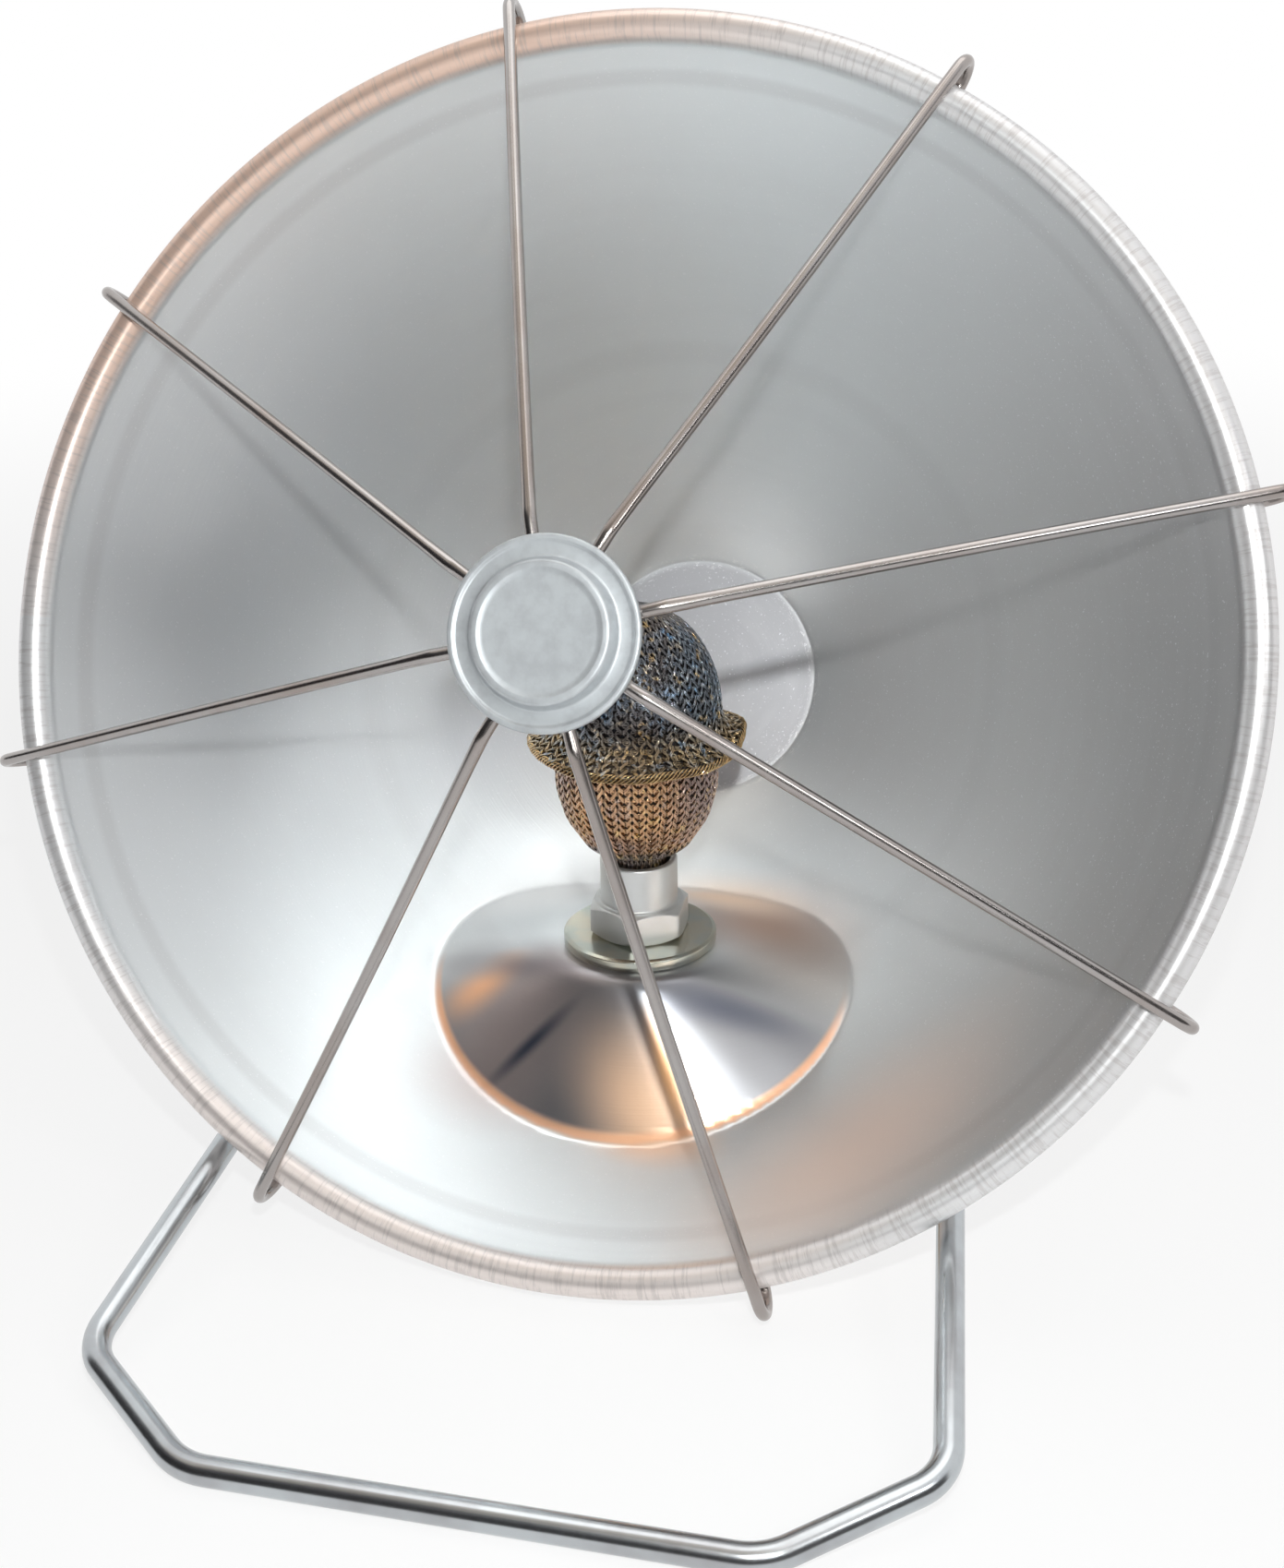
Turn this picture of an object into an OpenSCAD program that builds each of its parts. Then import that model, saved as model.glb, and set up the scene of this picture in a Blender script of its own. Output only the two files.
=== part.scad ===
// Parabolic gas heater: a spun bowl tipped back on two folding wire loops, with a
// knitted-mesh burner standing upright in a pressed seat and a wire guard over the mouth.
// Millimetres, +Z up, front towards -Y. The origin is on the floor, midway between the
// outer edges of the two foot bars.

/* [Reflector] */
// Outside diameter of the bowl over its rolled bead
dish_d = 280; // [260:1:300]
// Depth from the rim plane to the flat disc at the bottom of the bowl
dish_depth = 107; // [100:1:114]
// Diameter of the flat disc at the bottom of the bowl
flat_d = 62; // [46:1:74]
// Thickness of the spun sheet
sheet_t = 1; // [0.8:0.1:1.4]
// Diameter of the rolled bead round the rim
bead_d = 7; // [5:0.5:9]
// How far the axis of the bowl is tipped up from the horizontal
tilt = 22; // [19:1:25]
// Gap between the bead and the floor
rim_clear = 3.5; // [3:0.5:8]

/* [Pressed seat] */
// Horizontal distance from the rim's centre back to the burner's axis
burner_back = 27.3; // [24:0.1:30]
// Height of the flat seat above the bowl's own wall, on the burner's axis
seat_lift = 22; // [20:0.5:25]
// Diameter of the flat seat
seat_d = 44; // [40:1:48]
// Width of the pressed hump, side to side
boss_w = 103; // [94:1:110]
// Length of the pressed hump, front to back, seen from above
boss_l = 78; // [72:1:84]

/* [Guard] */
// Thickness of the guard wires
wire_d = 2.5; // [2:0.1:3]
// Height of the wires at the hub above the rim plane
hub_h = 46.5; // [38:0.5:56]
// Diameter of the pressed hub
hub_d = 39.4; // [34:0.2:46]
// Diameter of the hub's raised face
hub_face_d = 30; // [24:0.5:32]
// Height of the hub's raised face above its flange
hub_face_h = 3; // [2:0.5:4]
// How far the wire hooks reach past the bead
hook_reach = 7; // [5.5:0.5:9]

/* [Burner] */
// Diameter of the large washer on the seat
washer_d = 37; // [32:1:40]
// Thickness of the large washer
washer_t = 3; // [2:0.5:4]
// Width across flats of the burner's hexagon
hex_af = 22; // [20:1:26]
// Height of the burner's hexagon
hex_h = 8; // [6:0.5:10]
// Diameter of the burner tube above the hexagon
tube_d = 18.6; // [17.6:0.2:20]
// Height of the tube's rim above the washer
tube_h = 19; // [17:0.5:22]
// Diameter of the threaded stub through the seat
stub_d = 14; // [13:0.2:15.4]
// Length of the open mixing section between the lock nut and the valve
mixing_l = 9.5; // [8:0.5:10]
// Diameter of the air holes
air_d = 4; // [3:0.5:5]

/* [Mesh] */
// Diameter of the mesh cup
cup_d = 38.8; // [34:0.2:42]
// Height of the brim's edge above the washer
brim_up = 49.7; // [47:0.1:54]
// Diameter of the folded brim
brim_d = 52.4; // [50:0.2:58]
// Diameter of the mesh dome
dome_d = 40.8; // [36:0.2:43]
// Height of the dome above the brim's edge
dome_h = 32.3; // [26:0.1:38]
// Thickness of the knitted mesh
mesh_t = 1; // [0.7:0.1:1.2]

/* [Stand] */
// Diameter of the stand's rod
rod_d = 6; // [5:0.5:6.5]
// Distance from the burner's axis forward to the front foot bar
foot_front = 147; // [140:1:156]
// Distance from the burner's axis back to the rear foot bar
foot_rear = 87; // [84:1:100]
// Half of the front loop's width at its pivot
front_half_w = 76; // [75.5:0.5:79]
// Half of the front loop's width where its corners are cut
front_wide = 88; // [85:1:92]
// Half of the length of the front foot bar
front_bar = 57.3; // [50:0.5:62]
// Distance along the front loop from the foot bar to the cut corners
front_cut = 23.6; // [21:0.2:28]
// Half of the rear loop's width at its pivot
rear_half_w = 52; // [50:0.5:52.5]
// Half of the rear loop's width where its corners are cut
rear_wide = 60; // [57:1:62]
// Half of the length of the rear foot bar
rear_bar = 42; // [36:1:46]
// Radius of the rod's bends, on its centre line
rod_bend = 8; // [7.5:0.1:8.3]
// Thickness of the bracket's plate
plate_t = 2; // [1.5:0.5:2.5]
// Height of the pivots below the seat
pivot_drop = 13.5; // [12.5:0.5:14.5]

/* [Valve] */
// Diameter of the control knob
knob_d = 22; // [18:1:23]
// Length of the control knob
knob_l = 14; // [12:1:18]
// Outside diameter of the hose tail
tail_d = 9; // [8:0.5:10]
// Length of the plain land on the hose tail
land_l = 8; // [6:1:10]

/* [Hidden] */
$fn = 64;

run_fit = 0.05;     // radial clearance of a shaft that turns in its hole
seat_fit = 0.05;    // radial clearance of a piece that is screwed or pushed home
swing_gap = 0.3;    // gap between a leg at rest and the lip that stops it

// Where the bowl stands
bead_r = dish_d / 2 - bead_d / 2;     // radius of the bead's centre line
wall_r = bead_r - bead_d / 2;         // inner radius of the wall in the rim plane
flat_r = flat_d / 2;
burner_y = (foot_front - foot_rear) / 2;
rim_y = burner_y - burner_back;
rim_z = rim_clear + dish_d / 2 * cos(tilt);

// In the bowl's own frame its inner wall is z = wall_k * r^2 - wall_h
wall_k = dish_depth / (wall_r * wall_r - flat_r * flat_r);
wall_h = dish_depth + wall_k * flat_r * flat_r;

// Height of the bowl's inner wall above the floor, at a place (x, y) seen from above
function wall_z(x, y) =
    let (
        v = y - rim_y,
        s = sin(tilt),
        c = cos(tilt),
        qa = wall_k * c * c,
        qb = 2 * wall_k * v * s * c - s,
        qc = wall_k * (x * x + v * v * s * s) - wall_h + v * c
    )
    rim_z - (qb + sqrt(qb * qb - 4 * qa * qc)) / (2 * qa);

// Levels on the burner's axis, from the mesh down to the valve
seat_z = wall_z(0, burner_y) + seat_lift;
washer_z = seat_z + washer_t;
hex_z = washer_z + hex_h;
rim_top_z = washer_z + tube_h;
brim_z = washer_z + brim_up;
dome_top_z = brim_z + dome_h;
bracket_z = seat_z - sheet_t;
spring_t = 1.5;
spring_z = bracket_z - plate_t;
nut_h = 6.5;
nut_z = spring_z - spring_t - nut_h;
valve_top_z = nut_z - mixing_l;
valve_drop = 15;                      // from the valve's top face to its spindle's axis
valve_z = valve_top_z - valve_drop;

// Pivots of the two loops in the bracket's ears
pivot_z = seat_z - pivot_drop;
pivot_front = -2;                     // from the burner's axis
pivot_rear = 16;
ear_x = 66;                           // outer face of each ear
ear_in = ear_x - plate_t;
rod_r = rod_d / 2;

function slope_to(run) = atan2(pivot_z - rod_r, run);
front_run = foot_front + pivot_front;
rear_run = foot_rear - pivot_rear;
front_slope = slope_to(front_run);
rear_slope = slope_to(rear_run);
front_len = norm([front_run, pivot_z - rod_r]);
rear_len = norm([rear_run, pivot_z - rod_r]);

module in_bowl_frame() translate([0, rim_y, rim_z]) rotate([90 - tilt, 0, 0]) children();
module on_burner_axis(z) translate([0, burner_y, z]) children();
module mirrored_x() for (side = [0, 1]) mirror([side, 0, 0]) children();

// A ring or disc standing on z = 0
module ring(d, bore, h) {
    difference() {
        cylinder(d = d, h = h);
        if (bore > 0) translate([0, 0, -1]) cylinder(d = bore, h = h + 2);
    }
}

// A hexagonal prism on z = 0 whose corners are turned off at the chosen ends
module hexagon(af, h, chamfer_low, chamfer_high) {
    corner_d = af / cos(30);
    cone_h = (corner_d - af) / 2;
    intersection() {
        cylinder(d = corner_d, h = h, $fn = 6);
        union() {
            translate([0, 0, cone_h / 2]) cylinder(d = corner_d + 1, h = h - cone_h, $fn = 64);
            if (chamfer_low) cylinder(d1 = af - 0.4, d2 = corner_d + 1, h = cone_h / 2 + 0.01);
            else cylinder(d = corner_d + 1, h = h / 2);
            if (chamfer_high)
                translate([0, 0, h - cone_h / 2 - 0.01])
                    cylinder(d1 = corner_d + 1, d2 = af - 0.4, h = cone_h / 2 + 0.01);
            else translate([0, 0, h / 2]) cylinder(d = corner_d + 1, h = h / 2);
        }
    }
}

// ---- bent rod: straight lengths joined by round bends, all in the XY plane ----

function direction(a, b) = (b - a) / norm(b - a);
function turn_angle(a, b, c) =
    let (u = direction(a, b), w = direction(b, c)) atan2(u.x * w.y - u.y * w.x, u * w);
function bend_take(path, radii, i) =
    i == 0 || i == len(path) - 1 ? 0
    : radii[i] * tan(abs(turn_angle(path[i - 1], path[i], path[i + 1])) / 2);

// A bend is a hair fuller than the rod, so that the straight lengths end inside it
bend_full = 0.02;
bend_lap = 0.1;
module bent_rod(path, radii, d) {
    last = len(path) - 1;
    for (i = [0:last - 1]) {
        u = direction(path[i], path[i + 1]);
        start = path[i] + u * bend_take(path, radii, i);
        end = path[i + 1] - u * bend_take(path, radii, i + 1);
        lap_in = i == 0 ? 0 : bend_lap;
        lap_out = i == last - 1 ? 0 : bend_lap;
        translate([start.x, start.y, 0]) rotate([0, 0, atan2(u.y, u.x)]) rotate([0, 90, 0])
            translate([0, 0, -lap_in])
                cylinder(d = d, h = norm(end - start) + lap_in + lap_out, $fn = 32);
    }
    for (i = [1:last - 1]) {
        u = direction(path[i - 1], path[i]);
        turn = turn_angle(path[i - 1], path[i], path[i + 1]);
        side = sign(turn);
        start = path[i] - u * bend_take(path, radii, i);
        centre = start + side * radii[i] * [-u.y, u.x];
        from = atan2(start.y - centre.y, start.x - centre.x);
        translate([centre.x, centre.y, 0]) rotate([0, 0, min(from, from + turn)])
            rotate_extrude(angle = abs(turn)) translate([radii[i], 0])
                circle(d = d + bend_full, $fn = 32);
    }
}

// ---- reflector ----

wall_steps = 20;
function wall_point(i) =
    let (r = flat_r + (wall_r - flat_r) * i / wall_steps) [r, wall_k * r * r - wall_h];
function outer_point(i) =
    let (p = wall_point(i), m = 2 * wall_k * p.x, n = sqrt(1 + m * m))
    [p.x + sheet_t * m / n, p.y - sheet_t / n];

module bowl_shell() {
    rotate_extrude($fn = 128) polygon(concat(
        [[0, -dish_depth]],
        [for (i = [0:wall_steps]) wall_point(i)],
        [for (i = [wall_steps:-1:0]) outer_point(i)],
        [[flat_r, -dish_depth - sheet_t], [0, -dish_depth - sheet_t]]
    ));
}

// Everything that the bowl's outer surface encloses
module bowl_fill() {
    rotate_extrude($fn = 128) polygon(concat(
        [[0, 0], [0, -dish_depth - sheet_t], [flat_r, -dish_depth - sheet_t]],
        [for (i = [0:wall_steps]) outer_point(i)]
    ));
}

// The sheet's edge rolled outwards into an open curl
module rolled_bead() {
    difference() {
        rotate_extrude($fn = 128) translate([bead_r, 0]) circle(d = bead_d, $fn = 48);
        rotate_extrude($fn = 128) translate([bead_r, 0]) circle(d = bead_d - 2 * sheet_t, $fn = 48);
        rotate_extrude($fn = 128) translate([bead_r, 0])
            polygon([[0, 0], [-bead_d, -bead_d * 0.28], [-bead_d, -bead_d], [-bead_d * 0.4, -bead_d]]);
    }
}

// The pressed hump: the flat seat, blended down to an oval line on the bowl's wall.
// A post under each point carries the same outline on down, so it can also be cut away.
boss_steps = 32;
boss_mid = 0.9;                       // the oval's centre lies this far in front of the burner
module boss_block(inset, drop) {
    low = 0;
    hull() {
        on_burner_axis(low) cylinder(r = seat_d / 2 - inset, h = seat_z - drop - low, $fn = 48);
        for (i = [0:boss_steps - 1]) {
            a = 360 * i / boss_steps;
            x = (boss_w / 2 - inset) * cos(a);
            y = burner_y - boss_mid + (boss_l / 2 - inset) * sin(a);
            translate([x, y, low]) cylinder(d = 0.1, h = min(wall_z(x, y), seat_z) - drop - low, $fn = 4);
        }
    }
}

module reflector() {
    color("lightgray")
    difference() {
        union() {
            difference() {
                in_bowl_frame() bowl_shell();
                boss_block(1.2 * sheet_t, sheet_t);
            }
            intersection() {
                difference() {
                    boss_block(0, 0);
                    boss_block(1.2 * sheet_t, sheet_t);
                }
                in_bowl_frame() bowl_fill();
            }
            in_bowl_frame() rolled_bead();
        }
        on_burner_axis(seat_z - 5) cylinder(d = stub_d + 2 * seat_fit, h = 10);
    }
}

// ---- guard ----

wire_angles = [102.5, 61.5, 16, -28.5, -72, -119, -166.5, 148.5];
wire_fit = 0.05;
wire_inner_r = 9;
wire_bend_r = 24;                     // the wires leave the hub's plane here
hook_r = (bead_d + wire_d) / 2 + wire_fit;
hub_gap = wire_d / 2 + wire_fit;

// One wire in the plane of the bowl's axis: [distance from the axis, height above the rim].
// It leaves the hub flat, runs down just touching the bead and turns back behind it.
module guard_wire(angle) {
    bend = [wire_bend_r, hub_h];
    bead = [bead_r, 0];
    fall = atan2(hub_h, bead_r - wire_bend_r) - asin(hook_r / norm(bead - bend));
    u = [cos(fall), -sin(fall)];
    n = [sin(fall), cos(fall)];
    past = (dish_d / 2 + hook_reach - bead_r - hook_r - wire_d / 2) / cos(fall) + hook_r;
    path = [
        [wire_inner_r, hub_h],
        bend,
        bead + hook_r * n + past * u,
        bead - hook_r * n + past * u,
        bead - hook_r * n - 2 * u
    ];
    turn_r = hook_r - 0.2;
    color("silver") in_bowl_frame() rotate([0, 0, angle]) rotate([90, 0, 0])
        bent_rod(path, [0, 5, turn_r, turn_r, 0], wire_d);
}

hub_face_r = hub_face_d / 2;
hub_step = 1;                         // how far the pressed step leans

module guard_hub_face() {
    low = hub_h + hub_gap;
    color("darkgray") in_bowl_frame() rotate_extrude() polygon([
        [0, low + hub_face_h], [hub_face_r - hub_step - 0.5, low + hub_face_h],
        [hub_face_r - 0.5, low], [hub_d / 2, low],
        [hub_d / 2, low + 0.7], [hub_d / 2 - 0.3, low + 1],
        [hub_face_r + 0.3, low + 1], [hub_face_r - hub_step + 0.2, low + 1 + hub_face_h - 0.4],
        [hub_face_r - hub_step - 0.4, low + 1 + hub_face_h], [0, low + 1 + hub_face_h]
    ]);
}

// The back plate is dimpled up to the face, where the two are welded together
module guard_hub_back() {
    top = hub_h - hub_gap;
    weld = hub_h + hub_gap + hub_face_h;
    color("darkgray") in_bowl_frame() rotate_extrude() polygon([
        [0, weld - 1], [4, weld - 1], [6, top - 1], [hub_d / 2 - 2, top - 1],
        [hub_d / 2 - 2, top], [7.2, top], [5.2, weld], [0, weld]
    ]);
}

// ---- burner ----

mix_d = stub_d - 2;
gas_d = 9;
recess_h = 7;
neck_d = 15.2;                        // outside of the mesh cup's neck

module seat_washer() {
    color("darkkhaki") on_burner_axis(seat_z) difference() {
        ring(washer_d, stub_d + 2 * seat_fit, washer_t);
        difference() {
            translate([0, 0, washer_t - 0.4]) cylinder(d = washer_d + 1, h = 1);
            translate([0, 0, washer_t - 0.4]) cylinder(d1 = washer_d, d2 = washer_d - 2, h = 1.001);
        }
    }
}

// One turned piece: the tube, its hexagon, the threaded stub and the mixing tube
module burner_tube() {
    socket = 6;
    low = valve_top_z - socket + 0.3;
    color("gainsboro") on_burner_axis(0) difference() {
        union() {
            translate([0, 0, hex_z - 1]) cylinder(d = tube_d, h = rim_top_z - hex_z + 1);
            translate([0, 0, washer_z]) rotate([0, 0, 32]) hexagon(hex_af, hex_h, true, true);
            translate([0, 0, nut_z]) cylinder(d = stub_d, h = washer_z - nut_z + 1);
            translate([0, 0, low]) cylinder(d = mix_d, h = nut_z - low + 1);
        }
        translate([0, 0, low - 1]) cylinder(d = gas_d, h = rim_top_z - low + 2);
        translate([0, 0, rim_top_z - recess_h]) cylinder(d = neck_d + 2 * seat_fit, h = recess_h + 1);
        for (a = [0, 90]) rotate([0, 0, a + 45]) translate([0, 0, nut_z - mixing_l / 2])
            rotate([0, 90, 0]) cylinder(d = air_d, h = mix_d + 4, center = true, $fn = 32);
    }
}

module neck_ferrule() {
    color("goldenrod") on_burner_axis(rim_top_z - recess_h)
        ring(neck_d - 2 * mesh_t - 2 * seat_fit, neck_d - 2 * mesh_t - 2 * seat_fit - 2, 6);
}

cup_r = cup_d / 2;
dome_r = dome_d / 2;
brim_r = brim_d / 2;
flange_gap = 1.7;                     // room for the ring between the cup's and the dome's flanges
cup_flange_z = brim_z - flange_gap / 2;
dome_flange_z = brim_z + flange_gap / 2;
cup_steps = 10;

// Profile of the cup: neck, round bottom, straight side and flange, inset by k
function cup_profile(k) =
    let (
        r = cup_r - k,
        low = rim_top_z + cup_r + 2,
        neck = neck_d / 2 - k,
        from = acos(neck / r)
    )
    concat(
        [[neck, rim_top_z - recess_h + 0.2]],
        [for (i = [0:cup_steps]) let (a = from * (1 - i / cup_steps)) [r * cos(a), low - r * sin(a)]]
    );

module mesh_cup() {
    color("peru") on_burner_axis(0) rotate_extrude($fn = 96) polygon(concat(
        cup_profile(0),
        [[cup_r, cup_flange_z - 2.2], [cup_r + 1.5, cup_flange_z - mesh_t],
         [brim_r - 1.2, cup_flange_z - mesh_t], [brim_r - 0.6, cup_flange_z],
         [cup_r - mesh_t, cup_flange_z]],
        [for (i = [len(cup_profile(mesh_t)) - 1:-1:0]) cup_profile(mesh_t)[i]]
    ));
}

dome_steps = 14;
dome_side_h = 6.2;                    // straight side between the brim and the rounded top

function dome_profile(k) =
    let (r = dome_r - k, base = brim_z + dome_side_h, rise = dome_h - dome_side_h - k)
    [for (i = [0:dome_steps]) let (a = 90 * i / dome_steps) [r * cos(a), base + rise * sin(a)]];

module mesh_dome() {
    inner = dome_profile(mesh_t);
    color("dimgray") on_burner_axis(0) rotate_extrude($fn = 96) polygon(concat(
        [[brim_r - 0.7, dome_flange_z], [brim_r, brim_z + 0.2], [brim_r, brim_z + 1],
         [brim_r - 0.8, dome_flange_z + mesh_t], [dome_r + 2.4, dome_flange_z + mesh_t + 0.6],
         [dome_r + 0.6, brim_z + 4]],
        dome_profile(0),
        [for (i = [len(inner) - 1:-1:0]) inner[i]],
        [[dome_r - mesh_t, dome_flange_z]]
    ));
}

module brim_ring() {
    color("goldenrod") on_burner_axis(brim_z) rotate_extrude($fn = 96)
        translate([brim_r - 2.2, 0]) circle(d = flange_gap - 2 * seat_fit, $fn = 24);
}

module flame_spreader() {
    color("slategray") on_burner_axis(cup_flange_z - 3) difference() {
        cylinder(r = cup_r - mesh_t - seat_fit, h = 1);
        for (row = [[6, 6], [12, 11], [18, 15.5]], i = [0:row[0] - 1])
            rotate([0, 0, 360 * i / row[0]]) translate([row[1] * cup_r / 19.4, 0, -1])
                cylinder(d = 3, h = 3, $fn = 24);
    }
}

// ---- bracket and its fastening ----

strap_z = pivot_z - rod_r - 2.5;      // top of the strap between its feet and the ears
strap_w = 22;
hat_half = 17;
foot_x = 26;
ear_r = rod_r + 2.5;

function edge_normal(a, b) = let (u = direction(a, b)) [-u.y, u.x];
function mitre(a, b, c, t) =
    let (m = edge_normal(a, b), n = edge_normal(b, c)) b + (m + n) / (1 + m * n) * t;

module bracket_strap() {
    top = [[-ear_x, strap_z], [-foot_x, strap_z], [-hat_half, bracket_z],
           [hat_half, bracket_z], [foot_x, strap_z], [ear_x, strap_z]];
    last = len(top) - 1;
    under = [for (i = [last - 1:-1:1]) mitre(top[i - 1], top[i], top[i + 1], -plate_t)];
    translate([0, burner_y + strap_w, 0]) rotate([90, 0, 0]) linear_extrude(2 * strap_w)
        polygon(concat(top, [[ear_x, strap_z - plate_t]], under, [[-ear_x, strap_z - plate_t]]));
}

// The strap is narrower towards the ears, where the rear loop swings past it
module strap_outline() {
    back = 2.7;
    translate([0, burner_y, 0]) linear_extrude(seat_z) polygon([
        [-ear_x, -strap_w / 2], [ear_x, -strap_w / 2], [ear_x, back], [foot_x + 10, back],
        [foot_x + 2, strap_w / 2], [-foot_x - 2, strap_w / 2], [-foot_x - 10, back], [-ear_x, back]
    ]);
}

ear_front = pivot_front - ear_r - 2.5;
ear_rear = pivot_rear + ear_r + 2.5;
lip_t = 2;
lip_w = 3;
front_lip_z = pivot_z - (pivot_front - ear_front - lip_w) * tan(front_slope)
    + rod_r / cos(front_slope) + swing_gap;
rear_lip_z = pivot_z - (ear_rear - pivot_rear - lip_w) * tan(rear_slope)
    + rod_r / cos(rear_slope) + swing_gap;

// One ear with both pivot holes, a lip outwards over the front leg and one inwards
// over the rear leg
module bracket_ear() {
    low = strap_z - plate_t;
    top = pivot_z + ear_r;
    translate([ear_in, burner_y, 0]) {
        rotate([90, 0, 90]) linear_extrude(plate_t) polygon([
            [ear_front, low], [ear_rear - 6, low], [ear_rear, low + 6], [ear_rear, rear_lip_z + lip_t],
            [pivot_rear + 2, top], [pivot_front - 2, top], [ear_front, front_lip_z + lip_t]
        ]);
        translate([0, ear_front, front_lip_z])
            cube([front_half_w + rod_r - ear_in, lip_w, lip_t]);
        translate([rear_half_w - rod_r - ear_in, ear_rear - lip_w, rear_lip_z])
            cube([ear_x - rear_half_w + rod_r, lip_w, lip_t]);
    }
}

module pivot_hole(y) {
    translate([ear_in - 1, burner_y + y, pivot_z]) rotate([0, 90, 0])
        cylinder(d = rod_d + 2 * run_fit, h = plate_t + 2);
}

module stand_bracket() {
    color("lightsteelblue") difference() {
        union() {
            intersection() {
                bracket_strap();
                strap_outline();
            }
            mirrored_x() bracket_ear();
        }
        on_burner_axis(0) cylinder(d = stub_d + 2 * seat_fit, h = seat_z + 1);
        mirrored_x() {
            pivot_hole(pivot_front);
            pivot_hole(pivot_rear);
        }
    }
}

module spring_washer() {
    color("gray") on_burner_axis(spring_z - spring_t) difference() {
        ring(hex_af, stub_d + 2 * seat_fit, spring_t);
        translate([0, -0.6, -1]) cube([hex_af, 1.2, spring_t + 2]);
    }
}

module lock_nut() {
    color("silver") on_burner_axis(nut_z) difference() {
        rotate([0, 0, 30]) hexagon(hex_af, nut_h, true, true);
        translate([0, 0, -1]) cylinder(d = stub_d + 2 * seat_fit, h = nut_h + 2);
    }
}

// ---- gas train ----

block_d = 18;
barrel_d = 15;
socket_h = 6;
jet_d = 6;
jet_thread_h = 5.5;
spindle_d = 6;
barrel_back = 21;                     // from the burner's axis to the gland's face
gland_d = 10;
gland_h = 7;
side_x = 12;                          // from the burner's axis to the inlet's face
inlet_thread_d = 8;
inlet_thread_l = 5.5;
inlet_boss_d = 13;
seal_d = 12;
seal_t = 1;
tail_hex_af = 13;
tail_bore_d = 4;
tail_hex_l = 6;
barb_l = 3.5;
barb_fall = 1.4;                      // how much each barb tapers, on its diameter

module along_y(y) translate([0, burner_y + y, valve_z]) rotate([-90, 0, 0]) children();
module along_x(x) translate([x, burner_y, valve_z]) rotate([0, 90, 0]) children();

module injector() {
    color("gold") on_burner_axis(valve_top_z - socket_h - jet_thread_h) difference() {
        union() {
            cylinder(d = jet_d, h = jet_thread_h);
            translate([0, 0, jet_thread_h]) rotate([0, 0, 30]) hexagon(7, 2.4, false, true);
            translate([0, 0, jet_thread_h]) cylinder(d = 5, h = 4.5);
            translate([0, 0, jet_thread_h + 4.5]) cylinder(d1 = 5, d2 = 3, h = 1);
        }
        translate([0, 0, -1]) cylinder(d = 2.4, h = jet_thread_h + 4.5);
        translate([0, 0, -1]) cylinder(d = 0.8, h = jet_thread_h + 8, $fn = 24);
    }
}

module valve_body() {
    color("goldenrod") difference() {
        union() {
            on_burner_axis(valve_z - 8) cylinder(d = block_d, h = valve_top_z - valve_z + 8);
            along_y(-block_d / 2 + 1) cylinder(d = barrel_d, h = barrel_back + block_d / 2 - 1);
            along_x(0) cylinder(d = inlet_boss_d, h = side_x);
        }
        on_burner_axis(valve_top_z - socket_h) cylinder(d = mix_d + 2 * seat_fit, h = socket_h + 1);
        on_burner_axis(valve_top_z - socket_h - jet_thread_h)
            cylinder(d = jet_d + 2 * seat_fit, h = jet_thread_h + 1);
        on_burner_axis(valve_z) cylinder(d = 2.5, h = valve_drop - socket_h);
        along_y(2) cylinder(d = spindle_d + 2 * run_fit, h = barrel_back);
        along_y(barrel_back - gland_h) cylinder(d = gland_d + 2 * seat_fit, h = gland_h + 1);
        along_y(-1) cylinder(d = 2.5, h = 4);
        along_x(1) cylinder(d = 3, h = side_x);
        along_x(side_x - inlet_thread_l - 0.5)
            cylinder(d = inlet_thread_d + 2 * seat_fit, h = inlet_thread_l + 2);
    }
}

knob_y = barrel_back + 9;

module valve_spindle() {
    color("silver") difference() {
        union() {
            along_y(3.5) cylinder(d = spindle_d, h = knob_y + knob_l - 4 - 3.5);
            along_y(2.2) cylinder(d1 = 1.4, d2 = spindle_d - 1, h = 1.301);
        }
        along_y(knob_y + knob_l - 11) cylinder(d = 3 + 2 * seat_fit, h = 10);
    }
}

module spindle_o_ring() {
    tube = (gland_d - spindle_d) / 4 - seat_fit;
    color("black") along_y(barrel_back - gland_h + tube + 0.1) rotate_extrude()
        translate([(gland_d + spindle_d) / 4, 0]) circle(r = tube, $fn = 24);
}

module packing_nut() {
    shank = gland_h - (gland_d - spindle_d) / 2 - 0.2;
    color("gold") along_y(barrel_back - shank) difference() {
        union() {
            cylinder(d = gland_d, h = shank + 1);
            translate([0, 0, shank + 0.05]) hexagon(13, 5, false, true);
        }
        translate([0, 0, -1]) cylinder(d = spindle_d + 2 * run_fit, h = shank + 8);
    }
}

module control_knob() {
    flutes = 12;
    color("black") along_y(knob_y) difference() {
        union() {
            cylinder(d = knob_d, h = knob_l - 1.2);
            translate([0, 0, knob_l - 1.201]) cylinder(d1 = knob_d, d2 = knob_d - 2.4, h = 1.2);
        }
        for (i = [0:flutes - 1]) rotate([0, 0, 360 * i / flutes])
            translate([knob_d / 2 + 0.7, 0, 2.5]) cylinder(r = 1.8, h = knob_l, $fn = 24);
        translate([0, 0, -1]) cylinder(d = spindle_d + 2 * seat_fit, h = knob_l - 2.95);
        cylinder(d = 3.6, h = knob_l);
        translate([0, 0, knob_l - 2.5]) cylinder(d = 7, h = 3);
    }
}

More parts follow.
